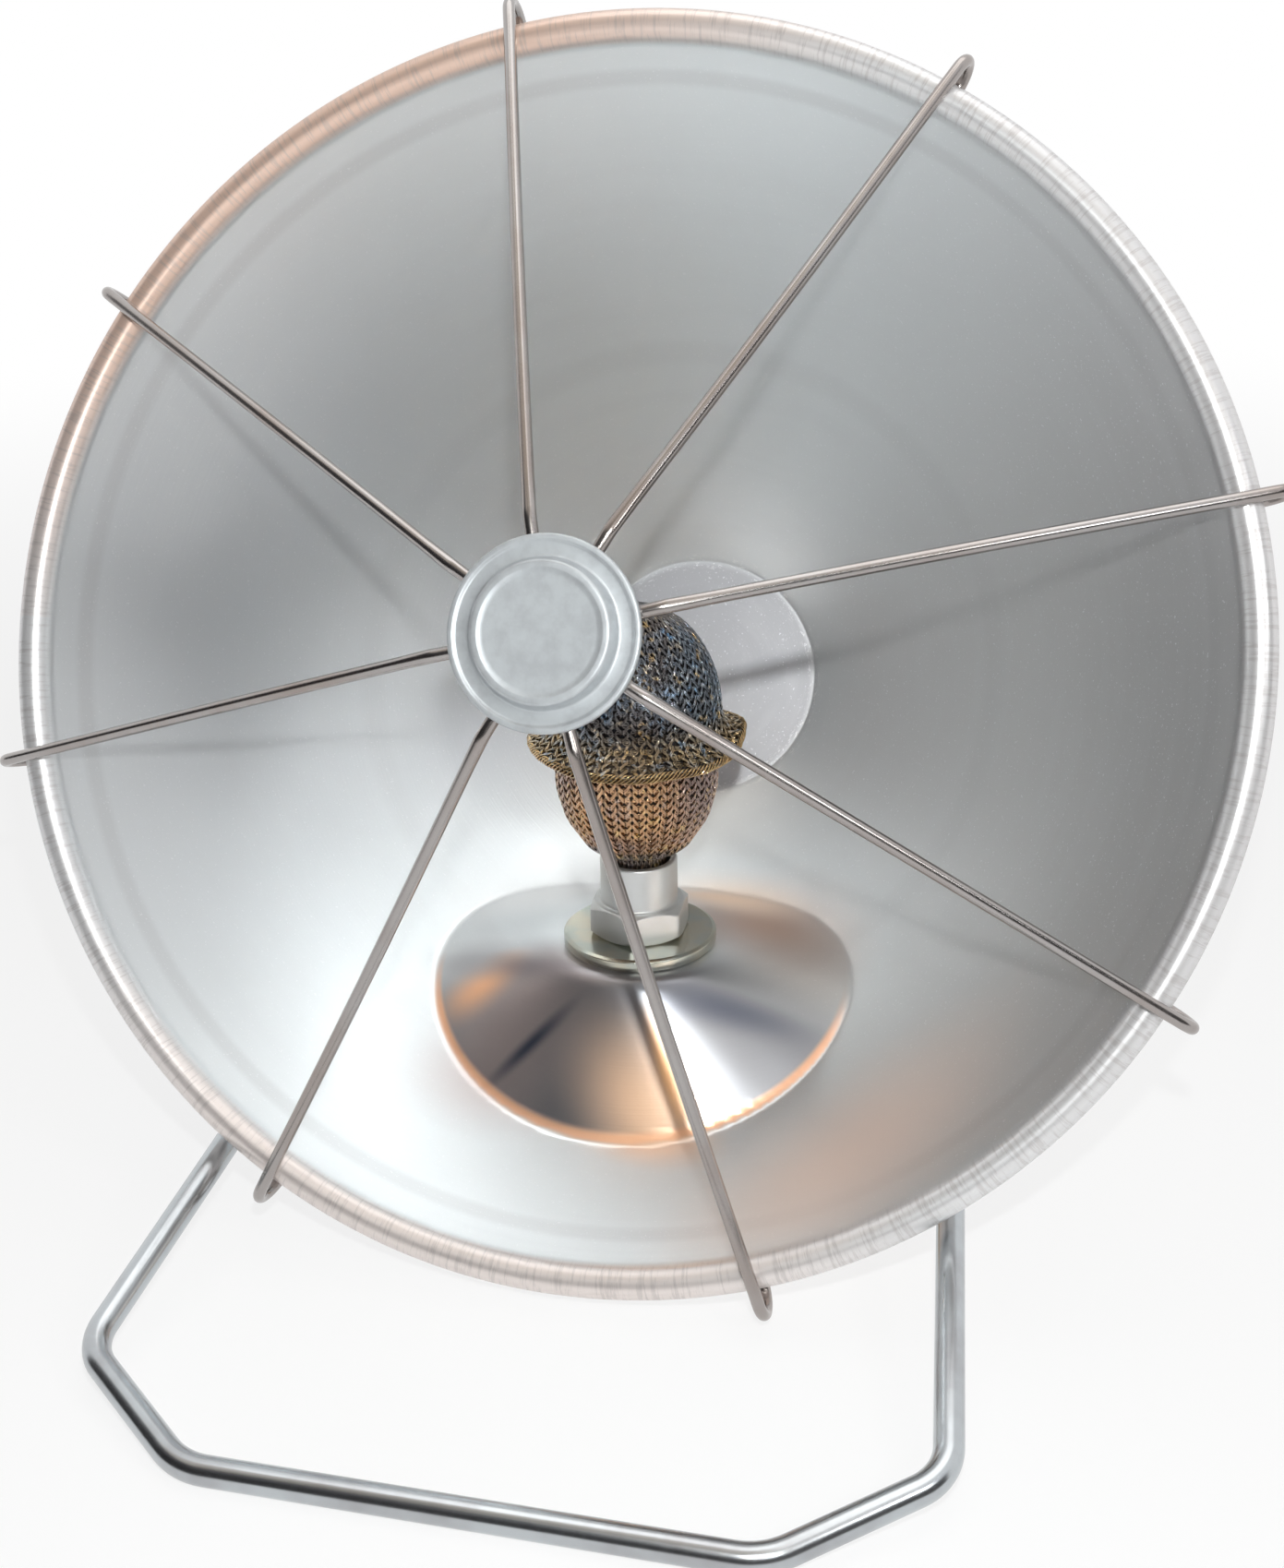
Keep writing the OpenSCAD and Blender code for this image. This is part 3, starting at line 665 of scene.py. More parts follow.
@dataclass(frozen=True)
class SpunSheet:
    """Satin aluminium, spun: fine rings round the bowl, specks, painted shade on its sides and
    painted light at the seat.

    The hump is (middle x and y, half sizes across and deep). A step is (radius, half width, soft
    edge, strength) of a ring that the spinning tool left, and a blush is (angle, half width, soft
    edge, strength) of copper colour on the bead.
    """

    colour: Colour = (0.84, 0.865, 0.875)
    flat_colour: Colour = (0.37, 0.365, 0.39)
    roughness: float = 0.315
    bead_edge: tuple[float, float] = (132.4, 133.6)
    disc_edge: tuple[float, float] = (32.4, 29.2)
    hump: tuple[float, float, float, float] = (0.0, 29.1, 51.5, 39.0)
    steps: Rows = ((128.0, 0.4, 1.3, 1.0), (80.0, 0.8, 3.0, 0.35))
    blushes: Rows = ((2.2, 0.35, 0.75, 1.0), (-1.8, 0.3, 0.6, 0.35))
    painted_patches: tuple[PaintedPatch, ...] = (
        # painted light on the seat: the dark ovals and streaks are painted shade and dark
        # reflections, the orange and peach ones painted warm reflections, the white one a painted
        # highlight
        PaintedPatch(-26.0, 5.0, 34.0, 22.0, 25.0, (0.62, 0.52, 0.50), 0.95),
        PaintedPatch(-36.5, 17.0, 14.0, 8.5, 10.0, (0.95, 0.50, 0.26), 0.95, 0.6),
        PaintedPatch(8.0, -5.5, 26.0, 12.0, -16.0, (0.98, 0.64, 0.42), 0.95, 0.45),
        PaintedPatch(-20.5, 2.3, 15.0, 2.2, 20.0, (0.08, 0.10, 0.15), 0.95),
        PaintedPatch(13.5, -1.0, 12.0, 2.6, -44.0, (1.0, 0.55, 0.25), 0.95, 0.5),
        PaintedPatch(24.0, 11.5, 30.0, 4.6, 13.0, (0.14, 0.15, 0.19), 0.9),
        PaintedPatch(-26.0, 17.0, 34.0, 5.0, -22.0, (0.22, 0.20, 0.22), 0.7),
        PaintedPatch(-42.0, 24.0, 16.0, 9.0, -20.0, (0.50, 0.50, 0.52), 0.7),
        PaintedPatch(28.0, 46.0, 34.0, 26.0, -30.0, (0.66, 0.46, 0.36), 1.0),
        PaintedPatch(15.0, 60.0, 28.0, 14.0, -14.0, (1.0, 0.74, 0.55), 1.0, 0.6),
        PaintedPatch(-24.0, 57.0, 40.0, 18.0, 28.0, (1.0, 1.0, 1.0), 1.0, 0.82),
        PaintedPatch(57.0, -21.0, 52.0, 32.0, 36.0, (1.0, 0.82, 0.72), 1.0, 0.14),
    )
    layout: Layout = LAYOUT

    def build(self) -> Material:
        """Makes the material.

        The bowl's own coordinates come from the object's: r is the distance from the bowl's
        axis and w the height above the rim plane. Rings are noise over r alone, and scratches
        across the bead are noise over the angle. The hump is where the oval distance from its
        middle, seen from above, is below 1.

        Returns:
            The material.
        """
        b = Bench("spun_aluminium")
        p = b.place()
        _, ev, ew = self.layout.axes().tolist()
        x, dy, dz = (p[key] - c * MM for key, c in zip("XYZ", self.layout.rim_centre))
        v, w = dy * ev[1] + dz * ev[2], dy * ew[1] + dz * ew[2]
        r = (x * x + v * v).root()
        angle = v.angle_from(x)
        radius, height, across, deep = (s * (1.0 / MM) for s in (r, w, p["X"], p["Y"]))

        rings = b.noise(1.0, 1.0, 0.5, b.vector(r * 2200.0, w * 300.0, angle * 0.8))
        broad = b.noise(1.0, 3.0, 0.5, b.vector(r * 260.0, w * 60.0, angle * 1.5))
        specks = b.noise(1900.0, 1.0, 0.5)
        cloud = b.noise(22.0, 4.0, 0.55)
        scratch = b.noise(1.0, 4.0, 0.7, b.vector(angle * 160.0, r * 90.0, w * 90.0))
        scuff = b.noise(1.0, 3.0, 0.7, b.vector(angle * 15.0, r * 1700.0, w * 60.0))

        low = p["Z"].ramp(0.100, 0.085)
        mx, my, ax, ay = self.hump
        hx, hy = (across - mx) * (1.0 / ax), (deep - my) * (1.0 / ay)
        oval = (hx * hx + hy * hy).root()
        # the front of the hump, where painted shade is laid
        hump = oval.ramp(1.02, 0.96) * low * deep.ramp(30.0, 12.0)
        # a thin line along the front edge of the hump, for a painted orange reflection
        rim = oval.band(0.985, 0.004, 0.024) * low * deep.ramp(32.0, 14.0)
        bead = radius.ramp(*self.bead_edge)
        inner = height.ramp(-self.layout.depth - 0.7, -self.layout.depth - 0.3)
        disc = radius.ramp(*self.disc_edge) * inner
        worn = radius.band(self.layout.flat_r, 0.8, 2.4) * inner * scuff.ramp(0.56, 0.68)
        # the bowl's right and left sides, where painted shade is laid
        right = abs(angle).ramp(1.35, 0.2) * radius.ramp(20.0, 50.0)
        left = abs(angle).ramp(2.0, 2.9) * radius.ramp(30.0, 70.0)
        steps = sum(radius.band(*place) * share for *place, share in self.steps)
        copper = sum(angle.band(*place) * share for *place, share in self.blushes)
        # the painted shade, highlights and warm reflections of the seat, each with its mask
        heat = [(tint, tint.mask(b, across, deep) * low) for tint in self.painted_patches]

        colour = b.paint(
            self.colour,
            # painted shade on the right side, darker again towards its rim, and on the left side;
            # the spinning steps and the disc
            (right * 0.75, (0.61, 0.585, 0.57)),
            (right * radius.ramp(85.0, 130.0) * 0.55, (0.40, 0.39, 0.39)),
            (left * 0.70, (0.72, 0.74, 0.76)),
            (steps * 0.22, (0.46, 0.45, 0.45)),
            (disc * 0.8, self.flat_colour),
            # clouds, rings, the worn edge of the disc and specks
            ((cloud - 0.45) * 0.30, (0.70, 0.69, 0.69)),
            ((broad - 0.5) * 0.5, (0.74, 0.75, 0.76)),
            (worn * 0.6, (1.0, 1.0, 1.0)),
            (specks.ramp(0.68, 0.74) * 0.5, (0.97, 0.98, 1.0)),
            # painted shade over the front of the hump, painted shade, highlights and warm
            # reflections on the seat, and a painted orange reflection along the hump's front edge
            (hump * 0.95, (0.27, 0.27, 0.285)),
            *((mask, tint.colour) for tint, mask in heat),
            (rim * 0.80, (0.96, 0.50, 0.27)),
            # the bead, its copper blushes and its scratches
            (bead * 0.7, (0.78, 0.77, 0.775)),
            (bead * copper * 0.75, (0.80, 0.52, 0.38)),
            (bead * scratch.ramp(0.50, 0.62) * 0.35, (0.42, 0.38, 0.37)),
        )
        dull = disc * 0.05 + bead * 0.30 + worn * 0.3 + rim * 0.4
        dull = sum((mask * tint.dull for tint, mask in heat if tint.dull), dull)
        return b.finish(
            {
                "Base Color": colour,
                "Roughness": (broad - 0.5) * 0.04 + disc * 0.15 + bead * 0.03 + self.roughness,
                "Metallic": (0.83 - dull).ramp(0.0, 1.0, False),
                "Normal": b.bump(rings * 0.8 + specks * 0.2, 0.03, 0.7),
                "IOR": 1.5,
            }
        )


@dataclass(frozen=True)
class PlatedMetal:
    """A plated or turned metal: drawn or turned lines, a fine grain and soft stains."""

    name: str
    colour: Colour
    stain: Colour
    roughness: float = 0.25
    line_scale: float = 900.0
    line_stretch: tuple[float, float, float] = (1.0, 1.0, 0.08)
    bump: float = 0.02
    metallic: float = 1.0
    stain_scale: float = 60.0
    stain_share: float = 0.6

    def build(self) -> Material:
        """Makes the material from one stretched noise for its lines and one for its stains.

        Returns:
            The material.
        """
        b = Bench(self.name)
        lines = b.noise(self.line_scale, 4.0, 0.6, None, self.line_stretch)
        stains = b.noise(self.stain_scale, 4.0, 0.6)
        grain = b.noise(3000.0, 2.0, 0.5)
        stained = stains.ramp(0.35, 0.72) * self.stain_share
        return b.finish(
            {
                "Base Color": b.mix(stained, self.colour, self.stain),
                "Roughness": (stains - 0.5) * 0.10 + (lines - 0.5) * 0.06 + self.roughness,
                "Normal": b.bump(lines * 0.7 + grain * 0.3, self.bump, 0.6),
                "Metallic": self.metallic,
            }
        )


@dataclass(frozen=True)
class TintedKnit:
    """Knitted heat-resisting wire with the colours that a flame leaves on it, another colour on its
    flanks, and painted shade on the cup's skirt.

    The skirt is (colour, height in metres where it begins, height where it is full), if any:
    near-black painted shade under the cup's heel, a gold-brown tint on the dome.
    """

    name: str
    base: Colour
    deep: Colour
    sparks: tuple[Colour, Colour, Colour]
    flank: Colour
    skirt: tuple[Colour, float, float] | None = None
    spark_share: float = 0.6
    roughness: float = 0.20

    def build(self) -> Material:
        """Makes the material.

        Broad clouds of tint lie over the base colour, and single stitches have turned blue or
        gold. The flanks, far from the middle, have their own colour. The skirt, below a height,
        has its own: near-black painted shade under the cup, a gold-brown tint on the dome.

        Returns:
            The material.
        """
        b = Bench(self.name)
        p = b.place()
        stitch = b.noise(620.0, 1.0, 0.5)
        spark = b.colours(b.noise(240.0, 2.0, 0.5), list(zip((0.32, 0.5, 0.66), self.sparks)))
        coats = [
            (b.noise(70.0, 3.0, 0.5).ramp(0.38, 0.62), self.deep),
            (abs(p["X"]).ramp(0.008, 0.018) * 0.75, self.flank),
        ]
        if self.skirt:
            skirt, begins, full = self.skirt
            # the skirt: painted shade under the cup's heel, a gold-brown tint on the dome
            coats.append((p["Z"].ramp(begins, full) * 0.85, skirt))
        colour = b.paint(self.base, *coats, (stitch.ramp(0.50, 0.66) * self.spark_share, spark))
        rough = (stitch - 0.5) * 0.12 + self.roughness
        return b.finish({"Base Color": colour, "Roughness": rough, "Metallic": 1.0})


@dataclass(frozen=True)
class Moulded:
    """Moulded plastic or rubber: a fine leathery grain and faint dust."""

    name: str
    colour: Colour
    dust: Colour
    roughness: float = 0.5

    def build(self) -> Material:
        """Makes the material.

        Returns:
            The material.
        """
        b = Bench(self.name)
        dust = b.noise(90.0, 4.0, 0.6)
        return b.finish(
            {
                "Base Color": b.mix(dust.ramp(0.45, 0.75) * 0.5, self.colour, self.dust),
                "Roughness": (dust - 0.5) * 0.2 + self.roughness,
                "Normal": b.bump(b.noise(1500.0, 3.0, 0.6), 0.04, 0.6),
                "Metallic": 0.0,
            }
        )


EVEN = (1.0, 1.0, 1.0)
TURNED = (0.02, 0.02, 1.0)


class Finish(Enum):
    """The heater's finishes."""

    BOWL = SpunSheet()
    WIRE = PlatedMetal(
        "guard_plate", (0.42, 0.40, 0.39), (0.32, 0.26, 0.23), 0.235, 300.0, EVEN, 0.001, 1.0, 28.0
    )
    HUB = PlatedMetal(
        "hub_sheet", (0.54, 0.57, 0.59), (0.44, 0.46, 0.48), 0.46, 500.0, EVEN, 0.04, 0.6, 240, 0.9
    )
    WASHER = PlatedMetal(
        "yellow_zinc", (0.6, 0.55, 0.44), (0.44, 0.5, 0.48), 0.23, 700.0, EVEN, 0.006, 1, 90, 0.8
    )
    TUBE = PlatedMetal(
        "turned_zinc", (0.66, 0.67, 0.67), (0.56, 0.55, 0.52), 0.36, 1600.0, TURNED, 0.02, 0.88
    )
    PLATE = PlatedMetal("plated_plate", (0.58, 0.60, 0.63), (0.42, 0.42, 0.44), 0.32)
    ROD = PlatedMetal(
        "leg_plate", (0.52, 0.55, 0.57), (0.34, 0.33, 0.34), 0.235, 420.0, EVEN, 0.003, 1.0, 45.0
    )
    CLIP = PlatedMetal("clip_steel", (0.16, 0.16, 0.17), (0.26, 0.22, 0.19), 0.42)
    BRASS = PlatedMetal("brass", (0.70, 0.50, 0.22), (0.48, 0.33, 0.15), 0.28)
    INNER = PlatedMetal("inner_steel", (0.40, 0.36, 0.32), (0.22, 0.20, 0.22), 0.42)
    CUP = TintedKnit(
        "cup_knit",
        (0.66, 0.42, 0.24),
        (0.40, 0.26, 0.19),
        ((1.0, 0.78, 0.36), (0.70, 0.46, 0.26), (0.58, 0.52, 0.54)),
        (0.44, 0.36, 0.35),
        # the skirt: near-black painted shade under the cup's heel
        ((0.17, 0.15, 0.14), 0.0795, 0.0780),
    )
    DOME = TintedKnit(
        "dome_knit",
        (0.21, 0.24, 0.285),
        (0.15, 0.135, 0.13),
        ((0.10, 0.34, 0.62), (0.60, 0.62, 0.64), (0.95, 0.66, 0.26)),
        (0.17, 0.20, 0.235),
        ((0.34, 0.25, 0.14), 0.1115, 0.1055),
        0.45,
    )
    BRIM = TintedKnit(
        "brim_knit",
        (0.56, 0.41, 0.20),
        (0.30, 0.20, 0.10),
        ((0.90, 0.74, 0.40), (0.60, 0.45, 0.22), (0.30, 0.26, 0.24)),
        (0.60, 0.41, 0.21),
    )
    # near-black sheets inside the knit: painted shade within the burner
    SHADE_LINER = TintedKnit(
        "knit_shade_liner",
        (0.035, 0.028, 0.022),
        (0.02, 0.02, 0.024),
        ((0.05, 0.04, 0.03), (0.04, 0.03, 0.03), (0.03, 0.03, 0.04)),
        (0.02, 0.02, 0.02),
        None,
        0.2,
        0.5,
    )
    KNOB = Moulded("knob_plastic", (0.022, 0.022, 0.024), (0.05, 0.05, 0.05), 0.42)
    RUBBER = Moulded("seal_rubber", (0.018, 0.018, 0.018), (0.04, 0.04, 0.04), 0.6)

    def material(self) -> Material:
        """The finish's material, made once.

        Returns:
            The material.
        """
        if self not in _MADE:
            _MADE[self] = self.value.build()
        return _MADE[self]


_MADE: dict[Finish, Material] = {}


@dataclass
class Piece:
    """A finished piece and what it stands for."""

    thing: Thing
    slot: str
    finish: Finish
    nodes: tuple[str, ...] = ()
    body: str = "heater"

    def settle(self) -> None:
        """Dresses the piece, hides the nodes that it replaces and lets it ride on its body."""
        dress(self.thing, self.finish.material())
        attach(self.thing, self.body)
        if self.nodes:
            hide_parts(*self.nodes)
        faces = len(self.thing.data.polygons)
        LOG.info("%s rides on %s, %d faces", self.thing.name, self.body, faces)


# Sub-assemblies ------------------------------------------------------------


@dataclass
class Bowl:
    """The spun bowl with its rolled bead and the pressed seat."""

    layout: Layout = LAYOUT
    seat_r: float = 22.0
    boss_half: tuple[float, float] = (51.5, 39.0)
    boss_mid: float = 0.9
    soften: float = 2.4
    soften_in: float = 6.0
    turns: int = 420
    crowd: float = 0.42
    bead_start: float = 132.5
    lift_below: float = 95.0

    def oval_ahead(self, x: Array, dy: Array, a: Array) -> Array:
        """Distance from a place to the hump's oval outline, seen from above.

        The ray at angle a is put into the oval's equation, which gives a quadratic in the
        distance.

        Args:
            x: Distance across from the burner's axis.
            dy: Distance back from it.
            a: The angle, in radians.

        Returns:
            The distance.
        """
        ax, ay = self.boss_half
        c, s, mid = np.cos(a), np.sin(a), dy + self.boss_mid
        qa = (c / ax) ** 2 + (s / ay) ** 2
        qb = 2 * (x * c / ax**2 + mid * s / ay**2)
        qc = (x / ax) ** 2 + (mid / ay) ** 2 - 1
        return (-qb + np.sqrt(np.maximum(qb * qb - 4 * qa * qc, 0.0))) / (2 * qa)

    def pressed(self, x: Array, y: Array) -> Array:
        """Height of the pressed hump at a place seen from above.

        Straight lines run from the seat's edge to the outline in every direction; the hump is
        the highest of those that pass over the place, and the seat's own level inside it. For a
        line of direction (c, s) both ends are roots of a quadratic, one for the oval ahead and
        one for the seat's circle behind.

        Args:
            x: Distance across.
            y: Distance back.

        Returns:
            The height, far down where no line passes.
        """
        dy = y - self.layout.burner_y
        best = np.full(x.shape, -1e3)
        for turn in around(72):
            c, s = np.cos(turn), np.sin(turn)
            out = self.oval_ahead(x, dy, turn)
            along = x * c + dy * s
            under = along**2 - (x * x + dy * dy - self.seat_r**2)
            back = along - np.sqrt(np.maximum(under, 0.0))
            foot = self.layout.wall_height(x + out * c, y + out * s)
            height = (foot * back + self.layout.seat_z * out) / (back + out + TINY)
            best = np.where((under > 0) & (back > 0), np.maximum(best, height), best)
        return np.where(np.hypot(x, dy) < self.seat_r, self.layout.seat_z, best)

    def lift(self, x: Array, y: Array) -> Array:
        """How far the hump stands above the wall at a place seen from above.

        The hump's height is averaged over a small disc round the place, which rounds its
        creases; the disc shrinks to nothing at the outline, so that the outline stays crisp.

        Args:
            x: Distance across.
            y: Distance back.

        Returns:
            The rise, 0 outside the outline.
        """
        dy = y - self.layout.burner_y
        rho = np.hypot(x, dy)
        out = self.oval_ahead(0.0, 0.0, np.arctan2(dy, x))
        inside = rho < out
        xi, yi = x[inside], y[inside]
        reach = self.soften * np.clip((out - rho)[inside] / self.soften_in, 0.0, 1.0)
        spots = [(part, turn) for turn in around(10) for part in (0.5, 1.0)]
        total = self.pressed(xi, yi) * 2.0
        for part, turn in spots:
            aside = part * reach
            total = total + self.pressed(xi + aside * np.cos(turn), yi + aside * np.sin(turn))
        gain = np.zeros(x.shape)
        mean = total / (len(spots) + 2.0)
        gain[inside] = np.maximum(mean - self.layout.wall_height(xi, yi), 0.0)
        return gain

    def profile(self) -> Array:
        """The sheet's section as (radius, height) points, from the disc out and back under.

        Returns:
            Array of n by 2.
        """
        k, depth, t = self.layout.wall_k, self.layout.depth, self.layout.sheet
        flat_r, half = self.layout.flat_r, self.layout.bead_d / 2
        r = np.concatenate(
            [np.linspace(0.0, 30.2, 14), np.linspace(30.6, 31.6, 5), np.linspace(32.2, 132.2, 128)]
        )
        w = np.where(r < flat_r, -depth, k * r * r - self.layout.wall_h)
        w = np.where(np.abs(r - flat_r) < 1.2, np.maximum(w, -depth) + 0.05, w)
        # over the bead, from its inner side round the outside and back under it
        a = np.radians(np.linspace(178.0, -148.0, 44))
        ring = np.stack([np.cos(a), np.sin(a)], axis=-1)
        middle = np.array([self.layout.bead_r, 0.0])
        over, under = middle + half * ring, middle + (half - t) * ring[::-1]
        # back down the outside of the wall, one sheet away along its normal
        slope = np.where(r < flat_r, 0.0, 2 * k * r)
        size = np.sqrt(1 + slope**2)
        outer = np.stack([r + t * slope / size, w - t / size], axis=-1)[::-1]
        outer[-1, 0] = 0.0
        return np.concatenate([np.stack([r, w], axis=-1), over, under[:-14], outer])

    def build(self) -> list[Piece]:
        """Makes the bowl.

        Each point is the section turned round the bowl's axis, with the turns crowded towards
        the hump; then the points of the lower wall are raised by the hump's height above the
        wall at their place seen from above.

        Returns:
            The bowl.
        """
        even = around(self.turns)
        turn = even - np.pi / 2 - self.crowd * np.sin(even)
        r, w = np.hsplit(self.profile(), 2)
        points = self.layout.from_bowl(r * np.cos(turn), r * np.sin(turn), w + 0 * turn)
        low = (points[..., 2] < self.lift_below) & (r < self.bead_start)
        points[..., 2] += np.where(low, self.lift(points[..., 0], points[..., 1]), 0.0)
        return [Piece(surface("bowl", points), "bowl_sheet", Finish.BOWL, ("reflector",))]


@dataclass
class Guard:
    """Eight wires from the hub over the mouth, and the hub itself."""

    layout: Layout = LAYOUT
    wire_d: float = 2.75
    hub_h: float = 46.5
    hub_d: float = 39.4
    face_d: float = 30.0
    face_h: float = 3.0
    reach: float = 7.0
    end_r: float = 9.0
    bend_r: float = 24.0
    pinch_r: float = 25.5
    bow: float = 0.35
    fit: float = 0.05
    angles: tuple[float, ...] = (102.5, 61.5, 16.0, -28.5, -72.0, -119.0, -166.5, 148.5)

    def wire_path(self) -> Array:
        """One wire as (distance from the axis, height above the rim).

        It leaves the hub level, falls to a line that just touches the bead, and turns back
        behind the bead.

        Returns:
            Array of n by 2.
        """
        hook = (self.layout.bead_d + self.wire_d) / 2 + self.fit
        bend = np.array([self.bend_r, self.hub_h])
        bead = np.array([self.layout.bead_r, 0.0])
        lean = np.arcsin(hook / np.linalg.norm(bead - bend))
        fall = np.arctan2(self.hub_h, bead[0] - self.bend_r) - lean
        u = np.array([np.cos(fall), -np.sin(fall)])
        n = np.array([np.sin(fall), np.cos(fall)])
        span = self.layout.dish_r + self.reach - bead[0] - hook - self.wire_d / 2
        past = span / np.cos(fall) + hook
        corners = [
            (self.end_r, self.hub_h, 0.0), (*bend, 7.0),
            (*(bead + hook * n + past * u), hook - 0.2),
            (*(bead - hook * n + past * u), hook - 0.2), (*(bead - hook * n - 2 * u), 0.0),
        ]
        return refine(rounded_profile(corners, 9.0), 3.0)

    def wires(self) -> list[Piece]:
        """The eight wires, each flattened a little where it was pinched beside the hub.

        Returns:
            The wires.
        """
        far, high = np.hsplit(self.wire_path(), 2)
        ex, ev, ew = self.layout.axes()
        squash = 1 - 0.12 * np.exp(-(((far[:, 0] - self.pinch_r) / 3.2) ** 2))
        bow = self.bow * np.sin(np.clip((far - 26) / 110, 0, 1) * np.pi)
        made = []
        for number, a in enumerate(np.radians(self.angles), 1):
            out, aside = np.cos(a) * ex + np.sin(a) * ev, np.cos(a) * ev - np.sin(a) * ex
            sway = bow * np.sin(number * 2.3) * aside
            points = self.layout.rim_centre + far * out + high * ew + sway
            thing = tube(f"guard_wire_{number}_plated", points, self.wire_d / 2, aside, 24, squash)
            made.append(Piece(thing, "guard_chrome", Finish.WIRE, (f"guard_wire_{number}",)))
        return made

    def hub(self) -> list[Piece]:
        """The hub's face, turned from a section with a raised centre and a thin rolled lip.

        Returns:
            The hub's face.
        """
        low = self.hub_h + self.wire_d / 2 + self.fit
        r1, r2, top = self.face_d / 2, self.hub_d / 2, low + 1 + self.face_h
        corners = [
            (0.0, top - 0.25, 0.0), (r1 - 3.2, top - 0.25, 6.0), (r1 - 2.3, top - 0.02, 0.5),
            (r1 - 0.9, top - 0.02, 0.8), (r1 + 0.1, low + 1.0, 0.7), (r2 - 1.8, low + 1.0, 0.8),
            (r2 - 1.2, low + 1.35, 0.5), (r2 - 0.3, low + 1.35, 0.5),
            (r2 - 0.05, low + 0.8, 0.3), (r2 - 0.1, low, 0.3), (r1 - 0.6, low, 0.8),
            (r1 - 1.7, low + self.face_h, 0.8), (0.0, low + self.face_h, 0.0),
        ]
        _, ev, ew = self.layout.axes()
        thing = revolve("hub_face", rounded_profile(corners, 12.0), self.layout.rim_centre, ew, ev)
        return [Piece(thing, "hub_sheet", Finish.HUB, ("guard_hub_face",))]

    def build(self) -> list[Piece]:
        """Makes the wires and the hub."""
        return self.wires() + self.hub()


@dataclass
class BurnerFoot:
    """The washer on the seat, and the turned tube with its hexagon."""

    layout: Layout = LAYOUT
    washer_r: float = 18.5
    stub_r: float = 7.0
    hex_af: float = 22.0
    hex_turn: float = 32.0
    tube_r: float = 9.3
    root_r: float = 10.2
    recess_r: float = 7.65
    recess: float = 7.0
    bore_r: float = 4.5
    mixing_r: float = 6.0
    mixing_z: tuple[float, float] = (24.15, 39.35)
    turns: int = 180

    def washer(self) -> Piece:
        """The washer, turned from a section with rounded edges.

        Returns:
            The washer.
        """
        z0, z1, hole = self.layout.seat_z, self.layout.washer_z, self.stub_r + 0.05
        corners = [
            (hole, z0 + 1.5, 0.0), (hole, z0, 0.3), (self.washer_r, z0, 0.5),
            (self.washer_r, z1 - 0.45, 0.35), (self.washer_r - 0.9, z1, 0.4), (hole, z1, 0.3),
            (hole, z0 + 1.5, 0.0),
        ]
        section, foot = rounded_profile(corners, 15.0), (0, self.layout.burner_y, 0)
        thing = revolve("washer", section, foot, EZ, EY)
        return Piece(thing, "passivated_steel", Finish.WASHER, ("seat_washer",))

    def hexagon_radius(self, a: Array) -> Array:
        """Distance to a hexagon's side at an angle, with the corners rounded a little."""
        turned = np.mod(a - np.radians(self.hex_turn), np.pi / 3) - np.pi / 6
        return self.hex_af / 2 / np.cos(turned) - 0.25 * (np.abs(turned) / (np.pi / 6)) ** 12

    def tube(self) -> Piece:
        """The tube, its hexagon, the stub and the mixing tube as one closed surface.

        At each height the surface is a circle, or in the hexagon the smaller of the hexagon
        and of the cone that turns off its corners.

        Returns:
            The tube.
        """
        z, (low, step) = self.layout, self.mixing_z
        floor = z.tube_z - self.recess
        below = [
            (self.bore_r, low + 2, 0.0), (self.bore_r, low, 0.0), (self.mixing_r, low, 0.4),
            (self.mixing_r, step, 0.3), (self.stub_r, step, 0.4),
            (self.stub_r, z.washer_z, 0.0),
        ]
        above = [
            (self.root_r, z.hex_z, 0.0), (self.tube_r, z.hex_z, 0.8),
            (self.tube_r, z.tube_z, 0.5), (self.recess_r, z.tube_z, 0.45),
            (self.recess_r, floor, 0.2), (self.bore_r, floor, 0.2), (self.bore_r, low + 2, 0.0),
        ]
        r0, h0 = np.hsplit(rounded_profile(below, 15.0), 2)
        r1, h1 = np.hsplit(rounded_profile(above, 12.0)[1:], 2)
        a = around(self.turns)
        bottom, top = np.linspace(0.0, 1.8, 10)[:, None], np.linspace(-1.8, 0.0, 10)[:, None]
        heights = np.concatenate([z.washer_z + bottom, z.hex_z + top])
        cone = self.hex_af / 2 - 0.35 + np.minimum(heights - z.washer_z, z.hex_z - heights) * 1.5
        hexagon = np.minimum(self.hexagon_radius(a), np.minimum(cone, self.hex_af / np.sqrt(3)))
        share = np.linspace(1.0, 0.0, 4)[1:, None]
        cap = hexagon[-1] * share + self.root_r * (1 - share)
        r = np.concatenate([r0 + 0 * a, hexagon, cap, r1 + 0 * a])
        h = np.concatenate([h0, heights, np.full((3, 1), z.hex_z), h1])
        points = np.stack([r * np.cos(a), z.burner_y + r * np.sin(a), h + 0 * a], axis=-1)
        thing = surface("burner_tube_turned", points)
        crisp_edges(thing, 32.0)
        return Piece(thing, "tube_steel", Finish.TUBE, ("burner_tube",))

    def build(self) -> list[Piece]:
        """Makes the washer and the tube."""
        return [self.washer(), self.tube()]


